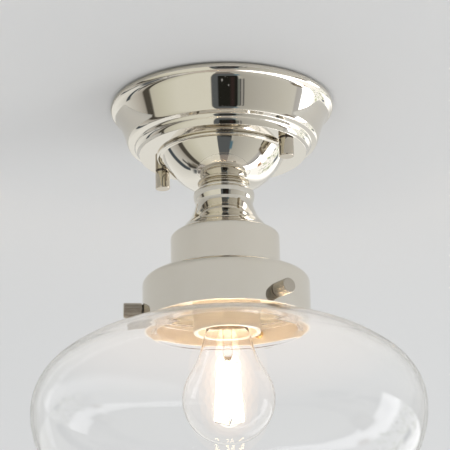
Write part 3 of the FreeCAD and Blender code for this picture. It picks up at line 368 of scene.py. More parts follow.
def noise(tree, place, scale, detail=2.0, rough=0.5):
    """A noise texture on a place."""
    node = tree.nodes.new("ShaderNodeTexNoise")
    return fill(tree, node, Vector=place, Scale=scale, Detail=detail, Roughness=rough).outputs["Fac"]


def spread(tree, value, low, high, new_low=0.0, new_high=1.0):
    """Stretch a value from one range to another."""
    node = tree.nodes.new("ShaderNodeMapRange")
    fill(tree, node, Value=value, From_Min=low, From_Max=high, To_Min=new_low, To_Max=new_high)
    return node.outputs["Result"]


def vector_node(tree, operation, first, second=None):
    """A vector math node fed by sockets or vectors."""
    node = tree.nodes.new("ShaderNodeVectorMath")
    node.operation = operation
    feed(tree, node.inputs[0], first)
    if second is not None:
        feed(tree, node.inputs[1], second)
    return node.outputs["Value" if operation in ("DOT_PRODUCT", "LENGTH") else "Vector"]


def object_place(tree):
    """A point's place on its object."""
    return tree.nodes.new("ShaderNodeTexCoord").outputs["Object"]


def axis_reach(tree, place):
    """How far a place is from the light's axis."""
    return vector_node(tree, "LENGTH", vector_node(tree, "MULTIPLY", place, (1, 1, 0)))


def make_polish_group():
    """Hand marks, faint spinning lines and tiny scratches on plated metal."""
    tree, start, end = new_group("Plate polish", Colour=(0.8, 0.8, 0.8, 1), Shine=0.05, Haze=0.05, Lines=0.2)
    place = object_place(tree)
    smear = spread(tree, noise(tree, place, 38, 4, 0.6), 0.45, 0.75)
    speck = spread(tree, noise(tree, place, 900, 2, 0.6), 0.66, 0.8)
    along = fill(tree, tree.nodes.new("ShaderNodeCombineXYZ"), X=axis_reach(tree, place),
                 Y=vector_node(tree, "DOT_PRODUCT", place, (0, 0, 1)))
    lines = noise(tree, along.outputs[0], 2600, 3, 0.7)
    grain = times(tree, math_node(tree, "SUBTRACT", lines, 0.5), start["Lines"])
    rough = plus(tree, start["Shine"], times(tree, smear, start["Haze"]))
    rough = plus(tree, rough, times(tree, grain, 0.06))
    rough = plus(tree, rough, times(tree, speck, 0.05), clamp=True)
    warm = blend_colours(tree, times(tree, smear, 0.12), start["Colour"], (0.70, 0.62, 0.50))
    fill(tree, end, Colour=warm, Roughness=rough, Height=plus(tree, grain, times(tree, smear, 0.3)))
    return tree


def make_dust_group():
    """Soft dust and water marks for glass, glaze and plastic."""
    tree, start, end = new_group(
        "Dust and marks", Colour=(0.8, 0.8, 0.8, 1), Amount=0.1, Shine=0.1, Scale=60.0)
    field = noise(tree, object_place(tree), start["Scale"], 5, 0.65)
    amount = times(tree, spread(tree, field, 0.42, 0.78), start["Amount"])
    dusty = blend_colours(tree, amount, start["Colour"], (0.62, 0.60, 0.57))
    fill(tree, end, Colour=dusty, Roughness=plus(tree, start["Shine"], amount, clamp=True), Height=field)
    return tree


def new_finish(name):
    """A material with a plain Principled shader."""
    material = bpy.data.materials.new(name)
    material.use_nodes = True
    return material, material.node_tree, material.node_tree.nodes["Principled BSDF"]


def use_group(tree, group, **values):
    """Place a shader group with its own values."""
    node = tree.nodes.new("ShaderNodeGroup")
    node.node_tree = GROUPS[group]
    return fill(tree, node, **values).outputs


def raise_surface(tree, shader, height, strength, distance):
    """Feed a height through a Bump node to a shader."""
    bump = fill(tree, tree.nodes.new("ShaderNodeBump"), Strength=strength, Distance=distance, Height=height)
    fill(tree, shader, Normal=bump.outputs["Normal"])


def see_through(tree, shader, share, tint=(1, 1, 1)):
    """Let rays straight through a shader by a share."""
    window = fill(tree, tree.nodes.new("ShaderNodeBsdfTransparent"), Color=tint)
    mix = tree.nodes.new("ShaderNodeMixShader")
    for socket, source in zip(mix.inputs, (share, shader.outputs["BSDF"], window.outputs["BSDF"])):
        tree.links.new(source, socket)
    fill(tree, tree.nodes["Material Output"], Surface=mix.outputs["Shader"])


def facing_in(tree):
    """A share that is 1 on faces of a turned piece that look at its axis or down."""
    place = tree.nodes.new("ShaderNodeTexCoord")
    flat = vector_node(tree, "MULTIPLY", place.outputs["Object"], (1, 1, 0))
    outwards = vector_node(tree, "DOT_PRODUCT", vector_node(tree, "NORMALIZE", flat), place.outputs["Normal"])
    upwards = vector_node(tree, "DOT_PRODUCT", place.outputs["Normal"], (0, 0, 1))
    return spread(tree, math_node(tree, "ADD", outwards, upwards), 0.15, -0.15)


def plated(name, tint, shine, haze, lines, strength=0.04, satin=None, painted_shade_reach=None):
    """A plated or polished metal finish, satin on its inner faces, with painted shade near its axis if
    wanted.
    """
    material, tree, shader = new_finish(name)
    polish = use_group(tree, "polish", Colour=tint, Shine=shine, Haze=haze, Lines=lines)
    shown, rough = polish["Colour"], polish["Roughness"]
    if painted_shade_reach:
        # Painted shade: near black nearer the axis than the given reach, for the shadowed boss of a thumb
        # screw's head.
        outside = spread(tree, axis_reach(tree, object_place(tree)), painted_shade_reach, painted_shade_reach + 0.1 * MM)
        shown = blend_colours(tree, outside, (0.05, 0.04, 0.03), shown)
    if satin:
        rough = plus(tree, rough, times(tree, facing_in(tree), satin))
    fill(tree, shader, Metallic=1.0, Base_Color=shown, Roughness=rough)
    raise_surface(tree, shader, polish["Height"], strength, 0.05 * MM)
    return material


def moulded(name, tint, shine, amount, scale=60.0, strength=0.1, coat=0.0):
    """A plastic, fibre or glazed finish."""
    material, tree, shader = new_finish(name)
    dust = use_group(tree, "dust", Colour=tint, Amount=amount, Shine=shine, Scale=scale)
    fill(tree, shader, Coat_Weight=coat, Base_Color=dust["Colour"], Roughness=dust["Roughness"])
    raise_surface(tree, shader, dust["Height"], strength, 0.2 * MM)
    return material


def clear(name, index, low, high, shine):
    """Clear glass that lets lamps through, and glows with painted warm light between two heights."""
    material, tree, shader = new_finish(name)
    height = vector_node(tree, "DOT_PRODUCT", object_place(tree), (0, 0, 1))
    # Painted light: warm emission between the two heights, though the glass is no lamp.
    warm = blend_colours(tree, spread(tree, height, low * MM, high * MM), (0, 0, 0), (1.0, 0.66, 0.44))
    dust = use_group(tree, "dust", Colour=(1, 1, 1), Amount=0.02, Shine=0.0, Scale=24.0)
    fill(tree, shader, Emission_Color=warm, Emission_Strength=shine, Base_Color=(1, 1, 1),
         Transmission_Weight=1.0, IOR=index, Roughness=dust["Roughness"])
    shadow = tree.nodes.new("ShaderNodeLightPath").outputs["Is Shadow Ray"]
    see_through(tree, shader, shadow, (0.97, 0.97, 0.96))
    return material


def glowing(name, tint, strength):
    """The coated light sticks of the bulb."""
    material, tree, shader = new_finish(name)
    dust = use_group(tree, "dust", Colour=(0.95, 0.75, 0.30), Amount=0.05, Shine=0.4, Scale=900.0)
    fill(tree, shader, Base_Color=dust["Colour"], Roughness=dust["Roughness"],
         Emission_Color=tint, Emission_Strength=strength)
    return material


GROUPS = {}
FINISHES = {}


class Step:
    """A step that builds part of the scene, shown as a button."""

    def execute(self, context):
        self.make(context.scene)
        return {"FINISHED"}


class LIGHT_OT_finishes(Step, bpy.types.Operator):
    """Build the shader groups and every finish"""

    bl_idname = "light.finishes"
    bl_label = "Make finishes"

    def make(self, scene):
        tints = scene.light_colours
        screw_foot = scene.light_gallery.head_start
        GROUPS.update(polish=make_polish_group(), dust=make_dust_group())
        FINISHES.update(
            nickel=plated("Polished nickel", tints.nickel, 0.035, 0.03, 0.15),
            gallery=plated("Polished nickel gallery", tints.nickel, 0.06, 0.03, 0.2, satin=0.34),
            # Painted shade on the knurled heads' bosses, inside where the heads start.
            knurled=plated("Knurled nickel", (0.52, 0.48, 0.42), 0.24, 0.06, 0.3, 0.1, painted_shade_reach=screw_foot),
            # A darker, browner copy of the nickel: painted shade for the nuts' darker reflections.
            nut=plated("Nickel nuts with painted shade", (0.60, 0.55, 0.47), 0.05, 0.03, 0.2),
            inner=plated("Satin nickel", tints.nickel, 0.42, 0.10, 0.8, 0.3),
            zinc=plated("Bright zinc", tints.zinc, 0.28, 0.12, 0.5, 0.3),
            brass=plated("Bright brass", tints.brass, 0.2, 0.12, 0.5, 0.2),
            cap=plated("Plated bulb cap", (0.78, 0.70, 0.55), 0.2, 0.1, 0.4, 0.2),
            # Both glasses glow with painted warm light between the heights given.
            glass=clear("Clear shade glass", 1.25, -180, -150, 0.055),
            bulb=clear("Clear bulb glass", 1.2, -240, -170, 0.035),
            porcelain=moulded("Glazed porcelain", tints.porcelain, 0.15, 0.08, 40, 0.05, 0.5),
            block=moulded("White moulding", (0.80, 0.80, 0.77), 0.42, 0.12, 180),
            live=moulded("Brown sleeve", (0.12, 0.045, 0.02), 0.38, 0.1, 200),
            neutral=moulded("Blue sleeve", (0.02, 0.10, 0.42), 0.38, 0.1, 200),
            earth=moulded("Green sleeve", (0.12, 0.36, 0.05), 0.38, 0.1, 200),
            fibre=moulded("Dark fibre", (0.05, 0.035, 0.025), 0.6, 0.25, 300, 0.3),
            black=moulded("Black glass", (0.01, 0.01, 0.012), 0.08, 0.05, 100, 0.05, 0.6),
            filament=glowing("Lit filament", tints.glow, 12.0))


class LIGHT_OT_rose(Step, bpy.types.Operator):
    """Spin the ceiling rose"""

    bl_idname = "light.rose"
    bl_label = "Make ceiling rose"

    def make(self, scene):
        size = scene.light_rose
        rim, neck, foot = size.rim / MM, size.neck / MM, size.foot / MM
        base, sheet = -size.depth / MM, size.sheet / MM
        roll, edge = 2.95, 55.7
        wall = bends(
            sweep((rim - roll, -roll), roll, 90, -62, 14),
            (-62, -24.5, 7.2, 10), (-24.5, -14.5, 101, 12), (-14.5, -45, 5.5, 10), (-45, -74, 1.2, 6))
        wall = bends(ahead(wall, -74, 2.5), (-74, -16, 1.7), (-16, -56, 2.2), (-56, -15, 4.3))
        wall = ahead(wall, -15, (wall[-1][1] - base - 0.45) / math.cos(math.radians(15)))
        inner_edge, inner_foot, inner_neck = edge - 0.6, (foot - 1.5, -26.0), (neck - 2.6, -8.0)
        outline = chain(
            run((neck - sheet, 0.0), (rim - roll, 0.0)),
            wall,
            through(wall[-1], (edge + 0.27, base + 0.15), (edge, base), 5),
            runs((edge, base), (BORE, base), (BORE, base + sheet), (inner_edge, base + sheet)),
            through((inner_edge, base + sheet), (foot - 6.6, -30.4), inner_foot, 12),
            run(inner_foot, inner_neck),
            run(inner_neck, (neck - sheet, -5.0), 0.1),
            run((neck - sheet, -5.0), (neck - sheet, 0.0)))
        fitted(turned("spun_rose", outline), "nickel", "ceiling_rose")


class LIGHT_OT_rose_nuts(Step, bpy.types.Operator):
    """Turn the plain nuts under the rose"""

    bl_idname = "light.rose_nuts"
    bl_label = "Make rose nuts"

    def make(self, scene):
        size = scene.light_rose
        radius, bore = size.nut / MM, 2.05
        top = -(size.depth / MM + 0.7)
        foot, bore_end = top - 12.0, top - 9.3
        edge, corner = 0.25, 0.7
        outline = chain(
            run((bore, top), (radius - edge, top), 0.1),
            sweep((radius - edge, top - edge), edge, 90, 0, 4),
            run((radius, top - edge), (radius, foot + corner)),
            through((radius, foot + corner), (radius - 0.2, foot + 0.2), (radius - corner, foot), 6),
            run((radius - corner, foot), (0.0, foot)),
            run((0.0, bore_end), (bore, bore_end), 0.1),
            run((bore, bore_end), (bore, top)))
        first = turned("rose_nut_right_form", outline, SMALL_STEPS)
        for side, label in ((1, "right"), (-1, "left")):
            place = Matrix.Translation((side * size.nut_offset, 0, 0))
            piece = copied(first, "polished_rose_nut_" + label, place)
            fitted(piece, "nut", "rose_nut_" + label, body="rose_nut_body_" + label)
        drop(first)


class LIGHT_OT_dome(Step, bpy.types.Operator):
    """Spin the dome and its beaded flange"""

    bl_idname = "light.dome"
    bl_label = "Make dome"

    def make(self, scene):
        size = scene.light_rose
        flange, top = size.flange / MM, -size.depth / MM
        half, sheet, inside = 0.95, 1.2, 39.85
        low = top - 23.8
        bead = sweep((flange - half, top - half), half, 90, -80, 12)

        def bowl(start, inset):
            """Side of the dome: an easy curve that tightens a little towards its foot."""
            return bends([start], (-27.5, -46.0, 53.5 - inset, 16), (-46.0, -77.0, 31.8 - inset, 16))

        outer = bowl((40.9, top - 2 * half), 0.0)
        inner = bowl((inside, top - 1.35), sheet)[::-1]
        outline = chain(
            run((inside, top), (flange - half, top), 0.1),
            bead,
            through(bead[-1], (41.6, top - 1.75), outer[0], 4),
            outer,
            runs((outer[-1][0], low), (BORE, low), (BORE, low + sheet), (inner[0][0], low + sheet)),
            inner)
        fitted(turned("spun_dome", outline), "nickel", "dome")


class LIGHT_OT_neck(Step, bpy.types.Operator):
    """Turn the collar and the neck"""

    bl_idname = "light.neck"
    bl_label = "Make neck"

    def make(self, scene):
        size = scene.light_neck
        collar, bead = size.collar / MM, size.bead / MM
        top, base = -size.top / MM, -size.base / MM
        tall, bulge = 3.0, 0.9
        ring = chain(
            run((BORE, top + tall), (collar - bulge, top + tall)),
            through((collar - bulge, top + tall), (collar, top + tall / 2), (collar - bulge, top), 16),
            runs((collar - bulge, top), (BORE, top), (BORE, top + tall)))
        fitted(turned("turned_collar", ring), "nickel", "neck_collar")
        side = bends(
            [(bead - 1.17, top)],
            (62, 0, 2.2, 10), (0, -22, 14.0, 12), (-22, -8, 2.5, 5), (-8, 14, 6.0, 8), (14, 24, 38.0, 10),
            (24, 42, 22.9, 12), (42, 23, 24.1, 12))
        foot = side[-1][0]
        spindle = chain(
            run((BORE, top), side[0]),
            side,
            through(side[-1], (foot + 0.15, base + 0.3), (foot, base), 4),
            runs((foot, base), (BORE, base), (BORE, top)))
        fitted(turned("turned_neck", spindle), "nickel", "neck_spindle")


class LIGHT_OT_gallery(Step, bpy.types.Operator):
    """Spin the two tiers of the gallery"""

    bl_idname = "light.gallery"
    bl_label = "Make gallery"

    def make(self, scene):
        size = scene.light_gallery
        neck_foot = -scene.light_neck.base / MM
        sheet = size.sheet / MM
        joint, rim = -size.joint / MM, -size.rim / MM

        def tier(radius, corner, top, foot, hole, lip):
            """Outline of one tier with a rounded shoulder."""
            inner, bow = radius - sheet, corner - sheet
            return chain(
                run((hole, top), (radius - corner, top)),
                sweep((radius - corner, top - corner), corner, 90, 0, 18),
                run((radius, top - corner), (radius, foot + lip)),
                sweep((radius - lip, foot + lip), lip, 0, -90, 5),
                run((radius - lip, foot), (inner + lip, foot), 0.1),
                sweep((inner + lip, foot + lip), lip, -90, -180, 5),
                run((inner, foot + lip), (inner, top - corner)),
                sweep((inner - bow, top - corner), bow, 0, 90, 10),
                run((inner - bow, top - sheet), (hole, top - sheet)),
                run((hole, top - sheet), (hole, top), 0.1))

        upper = tier(size.cap / MM, size.cap_corner / MM, neck_foot, joint, BORE, 0.15)
        fitted(turned("gallery_upper_tier", upper), "gallery", "gallery_cap")
        lower = tier(size.skirt / MM, size.skirt_corner / MM, joint, rim, size.cap / MM - sheet, 0.2)
        fitted(turned("gallery_lower_tier", lower), "gallery", "gallery_skirt")


class LIGHT_OT_thumb_screws(Step, bpy.types.Operator):
    """Turn and knurl the thumb screw heads"""

    bl_idname = "light.thumb_screws"
    bl_label = "Make thumb screws"

    def make(self, scene):
        size = scene.light_gallery
        grooves, ways, groove_depth = 30, 8, 0.075
        clear_selection()
        bpy.ops.mesh.primitive_cylinder_add(
            vertices=grooves * ways, radius=size.head, depth=size.head_length, end_fill_type="NGON",
            location=(0, 0, size.head_start + size.head_length / 2))
        first = bpy.context.active_object
        first.name = "thumb_screw_form"
        bpy.ops.object.transform_apply(location=True)
        bpy.ops.object.mode_set(mode="EDIT")
        bpy.ops.mesh.select_mode(type="FACE")

        def select_end(side):
            """Select the faces of the outer end, 1, or of the inner end, -1."""
            bpy.ops.mesh.select_all(action="DESELECT")
            bpy.ops.object.mode_set(mode="OBJECT")
            for face in first.data.polygons:
                face.select = face.normal.z * side > 0.9
            bpy.ops.object.mode_set(mode="EDIT")

        def ring(width, rise=None):
            """Inset the selected end by a ring, and push what is inside it along the screw."""
            bpy.ops.mesh.inset(thickness=width * MM)
            if rise:
                bpy.ops.mesh.extrude_region_move(TRANSFORM_OT_translate={"value": (0, 0, rise * MM)})

        edge, boss_edge, boss_wall, boss, bore = 0.45, 0.4, 1.9, -0.5, 6.9
        select_end(1)
        ring(edge)
        ring(0.1)
        select_end(-1)
        ring(edge)
        ring(boss_edge, boss)
        ring(boss_wall, bore)
        bpy.ops.object.mode_set(mode="OBJECT")
        chamfer, close = 0.4 * MM, 0.01 * MM
        for corner in first.data.vertices:
            if math.hypot(corner.co.x, corner.co.y) < size.head * 0.98:
                continue
            turn = math.atan2(corner.co.y, corner.co.x) / FULL_TURN * grooves
            squeeze = 1 - groove_depth * max(0.0, 1 - abs((turn % 1.0) - 0.5) * 3.2)
            corner.co.x *= squeeze
            corner.co.y *= squeeze
            if abs(corner.co.z - size.head_start) < close:
                corner.co.z += chamfer
            elif abs(corner.co.z - size.head_start - size.head_length) < close:
                corner.co.z -= chamfer
        smooth(first, math.radians(25))
        outwards = Matrix.Translation((0, 0, -size.screw_depth))
        for index in range(SCREW_COUNT):
            label = str(index + 1)
            around = Matrix.Rotation(math.radians(SCREW_TURN) + FULL_TURN / SCREW_COUNT * index, 4, "Z")
            place = outwards @ around @ Matrix.Rotation(math.radians(90), 4, "Y")
            piece = copied(first, "knurled_head_" + label, place)
            fitted(piece, "knurled", "thumb_screw_head_" + label, body="thumb_head_" + label)
        drop(first)


class LIGHT_OT_glass(Step, bpy.types.Operator):
    """Blow the glass shade"""

    bl_idname = "light.glass"
    bl_label = "Make glass shade"

    def make(self, scene):
        size = scene.light_glass
        belly, depth = size.belly / MM, -size.belly_depth / MM
        neck, wall = size.neck / MM, size.wall / MM
        upper_bend, shoulder_bend, lower_bend, fold_bend = 41.5, 99, 60, 3.6
        turn, steep = 50, 76
        lip, lip_top, lip_foot, lip_round = 51.3, -137.2, -142.2, 2.4
        upper, lower = (belly - upper_bend, depth), (belly - lower_bend, depth)
        shoulder = spoke(spoke(upper, upper_bend, turn), -shoulder_bend, turn)
        side = spoke(lower, lower_bend, -turn)
        bowl = side[0] / math.cos(math.radians(turn))
        middle = (0, side[1] + bowl * math.sin(math.radians(turn)))
        fold_out = spoke(shoulder, shoulder_bend, steep)
        fold_in = spoke(shoulder, shoulder_bend - wall, steep)

        def fold(side, end, bend, ease):
            """Start, middle and end of the neck's inner or outer fold."""
            rise = end[1] + (end[0] - side - bend) / math.tan(math.radians(steep))
            start = rise + bend * 0.9
            hollow = (side + ease * 0.25, start - ease * 0.62)
            return (side, start), hollow, (side + bend * 0.8, rise + bend * 0.04)

        outer = fold(neck, fold_out, fold_bend, fold_bend)
        inner = fold(neck - wall, fold_in, fold_bend + wall, 7.0)
        outline = chain(
            run((neck - wall, lip_top), (lip - lip_round, lip_top)),
            sweep((lip - lip_round, lip_top - lip_round), lip_round, 90, 0, 8),
            sweep((lip - lip_round, lip_foot + lip_round), lip_round, 0, -90, 8),
            run((lip - lip_round, lip_foot), (neck, lip_foot), 0.1),
            run((neck, lip_foot), outer[0]),
            through(*outer, 10),
            run(outer[-1], fold_out),
            sweep(shoulder, shoulder_bend, steep, turn, 18),
            sweep(upper, upper_bend, turn, 0, 22),
            sweep(lower, lower_bend, 0, -turn, 26),
            sweep(middle, bowl, -turn, -90, 30),
            sweep(middle, bowl - wall, -90, -turn, 26),
            sweep(lower, lower_bend - wall, -turn, 0, 24),
            sweep(upper, upper_bend - wall, 0, turn, 20),
            sweep(shoulder, shoulder_bend - wall, turn, steep, 16),
            run(fold_in, inner[-1]),
            through(*inner, 10)[::-1],
            run(inner[0], (neck - wall, lip_top)))
        fitted(turned("blown_glass_shade", outline), "glass", "glass_shade", slot="clear_glass")


class LIGHT_OT_holder(Step, bpy.types.Operator):
    """Spin the lamp holder's cup"""

    bl_idname = "light.holder"
    bl_label = "Make lamp holder"

    def make(self, scene):
        size = scene.light_bulb
        radius, foot = size.cup / MM, -size.cup_rim / MM
        top, sheet, corner, mouth = -110.5, 1.2, 2.5, 20.4
        fold = foot + 2 * sheet
        outline = chain(
            run((BORE, top), (radius - corner, top)),
            sweep((radius - corner, top - corner), corner, 90, 0, 10),
            run((radius, top - corner), (radius, foot + sheet)),
            sweep((radius - sheet, foot + sheet), sheet, 0, -90, 6),
            run((radius - sheet, foot), (mouth, foot), 0.1),
            sweep((mouth, foot + sheet), sheet, -90, -270, 10),
            run((mouth, fold), (radius - sheet, fold), 0.1),
            run((radius - sheet, fold), (radius - sheet, top - corner)),
            sweep((radius - corner, top - corner), corner - sheet, 0, 90, 6),
            run((radius - corner, top - sheet), (BORE, top - sheet)),
            run((BORE, top - sheet), (BORE, top), 0.1))
        fitted(turned("spun_holder_cup", outline), "inner", "holder_cup")


class LIGHT_OT_bulb(Step, bpy.types.Operator):
    """Blow the bulb's glass"""

    bl_idname = "light.bulb"
    bl_label = "Make bulb"

    def make(self, scene):
        size = scene.light_bulb
        top, ball = -size.top / MM, size.ball / MM
        middle = (0, top - size.tall / MM + ball)
        wall, turn = 0.8, 32
        seam, throat, neck = (11.9, top - 15.2), (13.6, top - 26.8), (15.6, top - 35.0)
        seam_end, seam_wall = (11.9, top - 25.4), 11.1
        lean = math.radians(turn)
        side = spoke(middle, ball, turn)
        across, rise = side[0] - neck[0], neck[1] - side[1]
        bend = (across * across + rise * rise) / (2 * (rise * math.sin(lean) - across * math.cos(lean)))
        hollow = spoke(side, bend, turn)
        neck_turn = math.degrees(math.atan2(neck[1] - hollow[1], neck[0] - hollow[0])) % 360
        outline = chain(
            run((seam_wall, seam[1]), seam, 0.05),
            run(seam, seam_end),
            through(seam_end, (12.9, top - 25.9), throat, 6),
            through(throat, (14.5, top - 30.8), neck, 10),
            sweep(hollow, bend, neck_turn, 180 + turn, 20),
            sweep(middle, ball, turn, -90, 54),
            sweep(middle, ball - wall, -90, turn, 48),
            sweep(hollow, bend + wall, 180 + turn, neck_turn, 18),
            through((neck[0] - wall, neck[1]), (14.5 - wall, top - 30.8), (seam_wall, top - 26.4), 10),
            run((seam_wall, top - 26.4), (seam_wall, seam[1])))
        fitted(turned("bulb_envelope", outline), "bulb", "bulb_glass", body="bulb", slot="bulb_glass")


class LIGHT_OT_fixings(Step, bpy.types.Operator):
    """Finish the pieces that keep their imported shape"""

    bl_idname = "light.fixings"
    bl_label = "Finish packed pieces"

    def make(self, scene):
        for finish, nodes in (
                ("zinc", ("fixing_strap", "strap_studs", "stud_lock_nuts", "threaded_tube",
                          "rose_inner_washer", "rose_inner_nut", "gallery_washer", "gallery_nut",
                          "terminal_block_screws", "terminal_block_fixing_screw", "earth_tag",
                          "thumb_screw_shank_1", "thumb_screw_shank_2", "thumb_screw_shank_3",
                          "holder_saddle", "saddle_screws", "holder_terminal_screws",
                          "holder_cup_nuts", "bulb_supports", "bulb_contact")),
                ("brass", ("earth_screw", "threaded_bushes", "screw_shell", "centre_contact",
                           "holder_terminals")),
                ("fibre", ("rose_washer_right", "rose_washer_left")),
                ("block", ("terminal_block",)), ("live", ("live_wire",)), ("neutral", ("neutral_wire",)),
                ("earth", ("earth_wire",)), ("porcelain", ("porcelain_body",)), ("cap", ("bulb_cap",)),
                ("bulb", ("bulb_stem",)), ("filament", ("bulb_filaments",)), ("black", ("bulb_insulator",))):
            for node in nodes:
                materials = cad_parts[node].data.materials
                materials.clear()
                materials.append(FINISHES[finish])


# The stage

CAMERA_TURN = math.radians(33.887)
CAMERA_TILT = math.radians(19.092)
CAMERA_ROLL = math.radians(-1.388)
CAMERA_PLACE = (0.6580, -0.9793, -0.4934)
CAMERA_LENS = 150.7
CEILING_WIDTH = 9.0
CEILING_GAP = 0.6 * MM      # from the rose's rim up to the ceiling
CEILING_HOLE = 65 * MM      # radius of the hole that lights the inside of the rose from above
EVEN_LIGHT = (0.86, 0.865, 0.865)


def ceiling_finish(tint):
    """Painted ceiling that can't be seen from above, with a hole behind the rose."""
    material, tree, shader = new_finish("Painted ceiling")
    place = object_place(tree)
    patches = spread(tree, noise(tree, place, 3, 2), 0.3, 0.7, 0.0, 0.03)
    fill(tree, shader, Base_Color=blend_colours(tree, patches, tuple(tint), (0.5, 0.5, 0.5)),
         Roughness=0.9, Specular_IOR_Level=0.1)
    raise_surface(tree, shader, noise(tree, place, 420, 3, 0.6), 0.05, 0.4 * MM)
    surface = tree.nodes.new("ShaderNodeNewGeometry")
    distance = vector_node(tree, "LENGTH", surface.outputs["Position"])
    hole = math_node(tree, "LESS_THAN", distance, CEILING_HOLE)
    see_through(tree, shader, math_node(tree, "MAXIMUM", surface.outputs["Backfacing"], hole))
    return material


ROOM_BANDS = (
    # azimuth from the camera in degrees, positive to its right, and the colour of the room there
    (-180, (0.86, 0.86, 0.83)), (-150, (0.92, 0.92, 0.89)), (-122, (0.74, 0.74, 0.71)),
    (-100, (0.52, 0.50, 0.46)), (-93.5, (0.40, 0.38, 0.34)), (-92, (0.08, 0.073, 0.06)),
    (-83.5, (0.08, 0.073, 0.06)), (-82, (0.58, 0.56, 0.48)), (-68, (0.66, 0.65, 0.55)),
    (-50, (0.76, 0.75, 0.66)), (-12, (0.78, 0.77, 0.68)),
    (25, (0.44, 0.43, 0.39)), (45, (0.52, 0.51, 0.47)), (70, (0.62, 0.61, 0.56)), (87, (0.68, 0.67, 0.62)),
    (88.5, (0.50, 0.49, 0.48)), (96, (0.56, 0.56, 0.56)), (97.5, (4.5, 4.5, 4.6)), (113, (4.5, 4.5, 4.6)),
    (116, (1.3, 1.3, 1.28)), (138, (1.3, 1.3, 1.28)), (140, (1.6, 1.6, 1.6)), (149, (1.6, 1.6, 1.6)),
    (158, (0.72, 0.72, 0.70)), (180, (0.86, 0.86, 0.83)),
)
ROOM_PATCHES = (
    # azimuth and elevation of the edges in degrees, how soft they are, and the colour
    (-11.0, 18.6, -75, 6, 0.8, (0.21, 0.19, 0.175)),
    (-11.0, 18.6, -58, 6, 0.8, (0.105, 0.115, 0.122)),
    (-3.8, 18.0, -35, 1, 0.8, (0.016, 0.016, 0.013)),
    (10.2, 14.4, -27, -4, 1.5, (0.036, 0.024, 0.022)),
    (0.2, 1.6, -24, -22.5, 0.4, (0.5, 0.5, 0.5)),
    (4.0, 5.0, -29, -27, 0.4, (0.4, 0.4, 0.4)),
    (7.5, 8.5, -20, -19, 0.3, (0.4, 0.4, 0.4)),
    (18.4, 20.2, -24, 1, 0.5, (0.15, 0.17, 0.15)),
    (20.2, 22.0, -24, 1, 0.5, (0.09, 0.09, 0.09)),
    (22.0, 24.0, -24, 1, 0.5, (0.36, 0.35, 0.33)),
    (24.0, 25.4, -24, 1, 0.5, (0.10, 0.10, 0.10)),
    (20.5, 23.5, -3, 0, 0.6, (1.1, 1.1, 1.1)),
    (17.0, 23.0, -52, -40, 1.5, (0.10, 0.19, 0.25)),
    (-121, -113, -42, -6, 1.2, (0.07, 0.085, 0.10)),
    (-112, -101, -52, -38, 2.0, (0.10, 0.09, 0.075)),
    (-108, -105, -60, -30, 1.0, (0.05, 0.05, 0.05)),
    (-103, -96, -66, -44, 2.0, (0.19, 0.17, 0.14)),
    (-130, -114, -60, -46, 2.5, (0.12, 0.13, 0.14)),
    (-98, -82, -70, -56, 2.0, (0.30, 0.30, 0.29)),
    (84, 101, -33, -20, 1.5, (0.13, 0.10, 0.065)),
    (88, 97, -30, -23, 1.5, (0.40, 0.36, 0.28)),
    (109, 116, -40, -33, 1.5, (0.50, 0.27, 0.13)),
    (132, 137, -12, -5, 1.0, (0.16, 0.19, 0.24)),
    (94, 98, -60, -36, 1.5, (0.28, 0.28, 0.28)),
)


def between(tree, value, low, high, soft):
    """A share that is 1 between two values, with soft edges."""
    start = spread(tree, value, low - soft, low + soft)
    return times(tree, start, spread(tree, value, high + soft, high - soft))


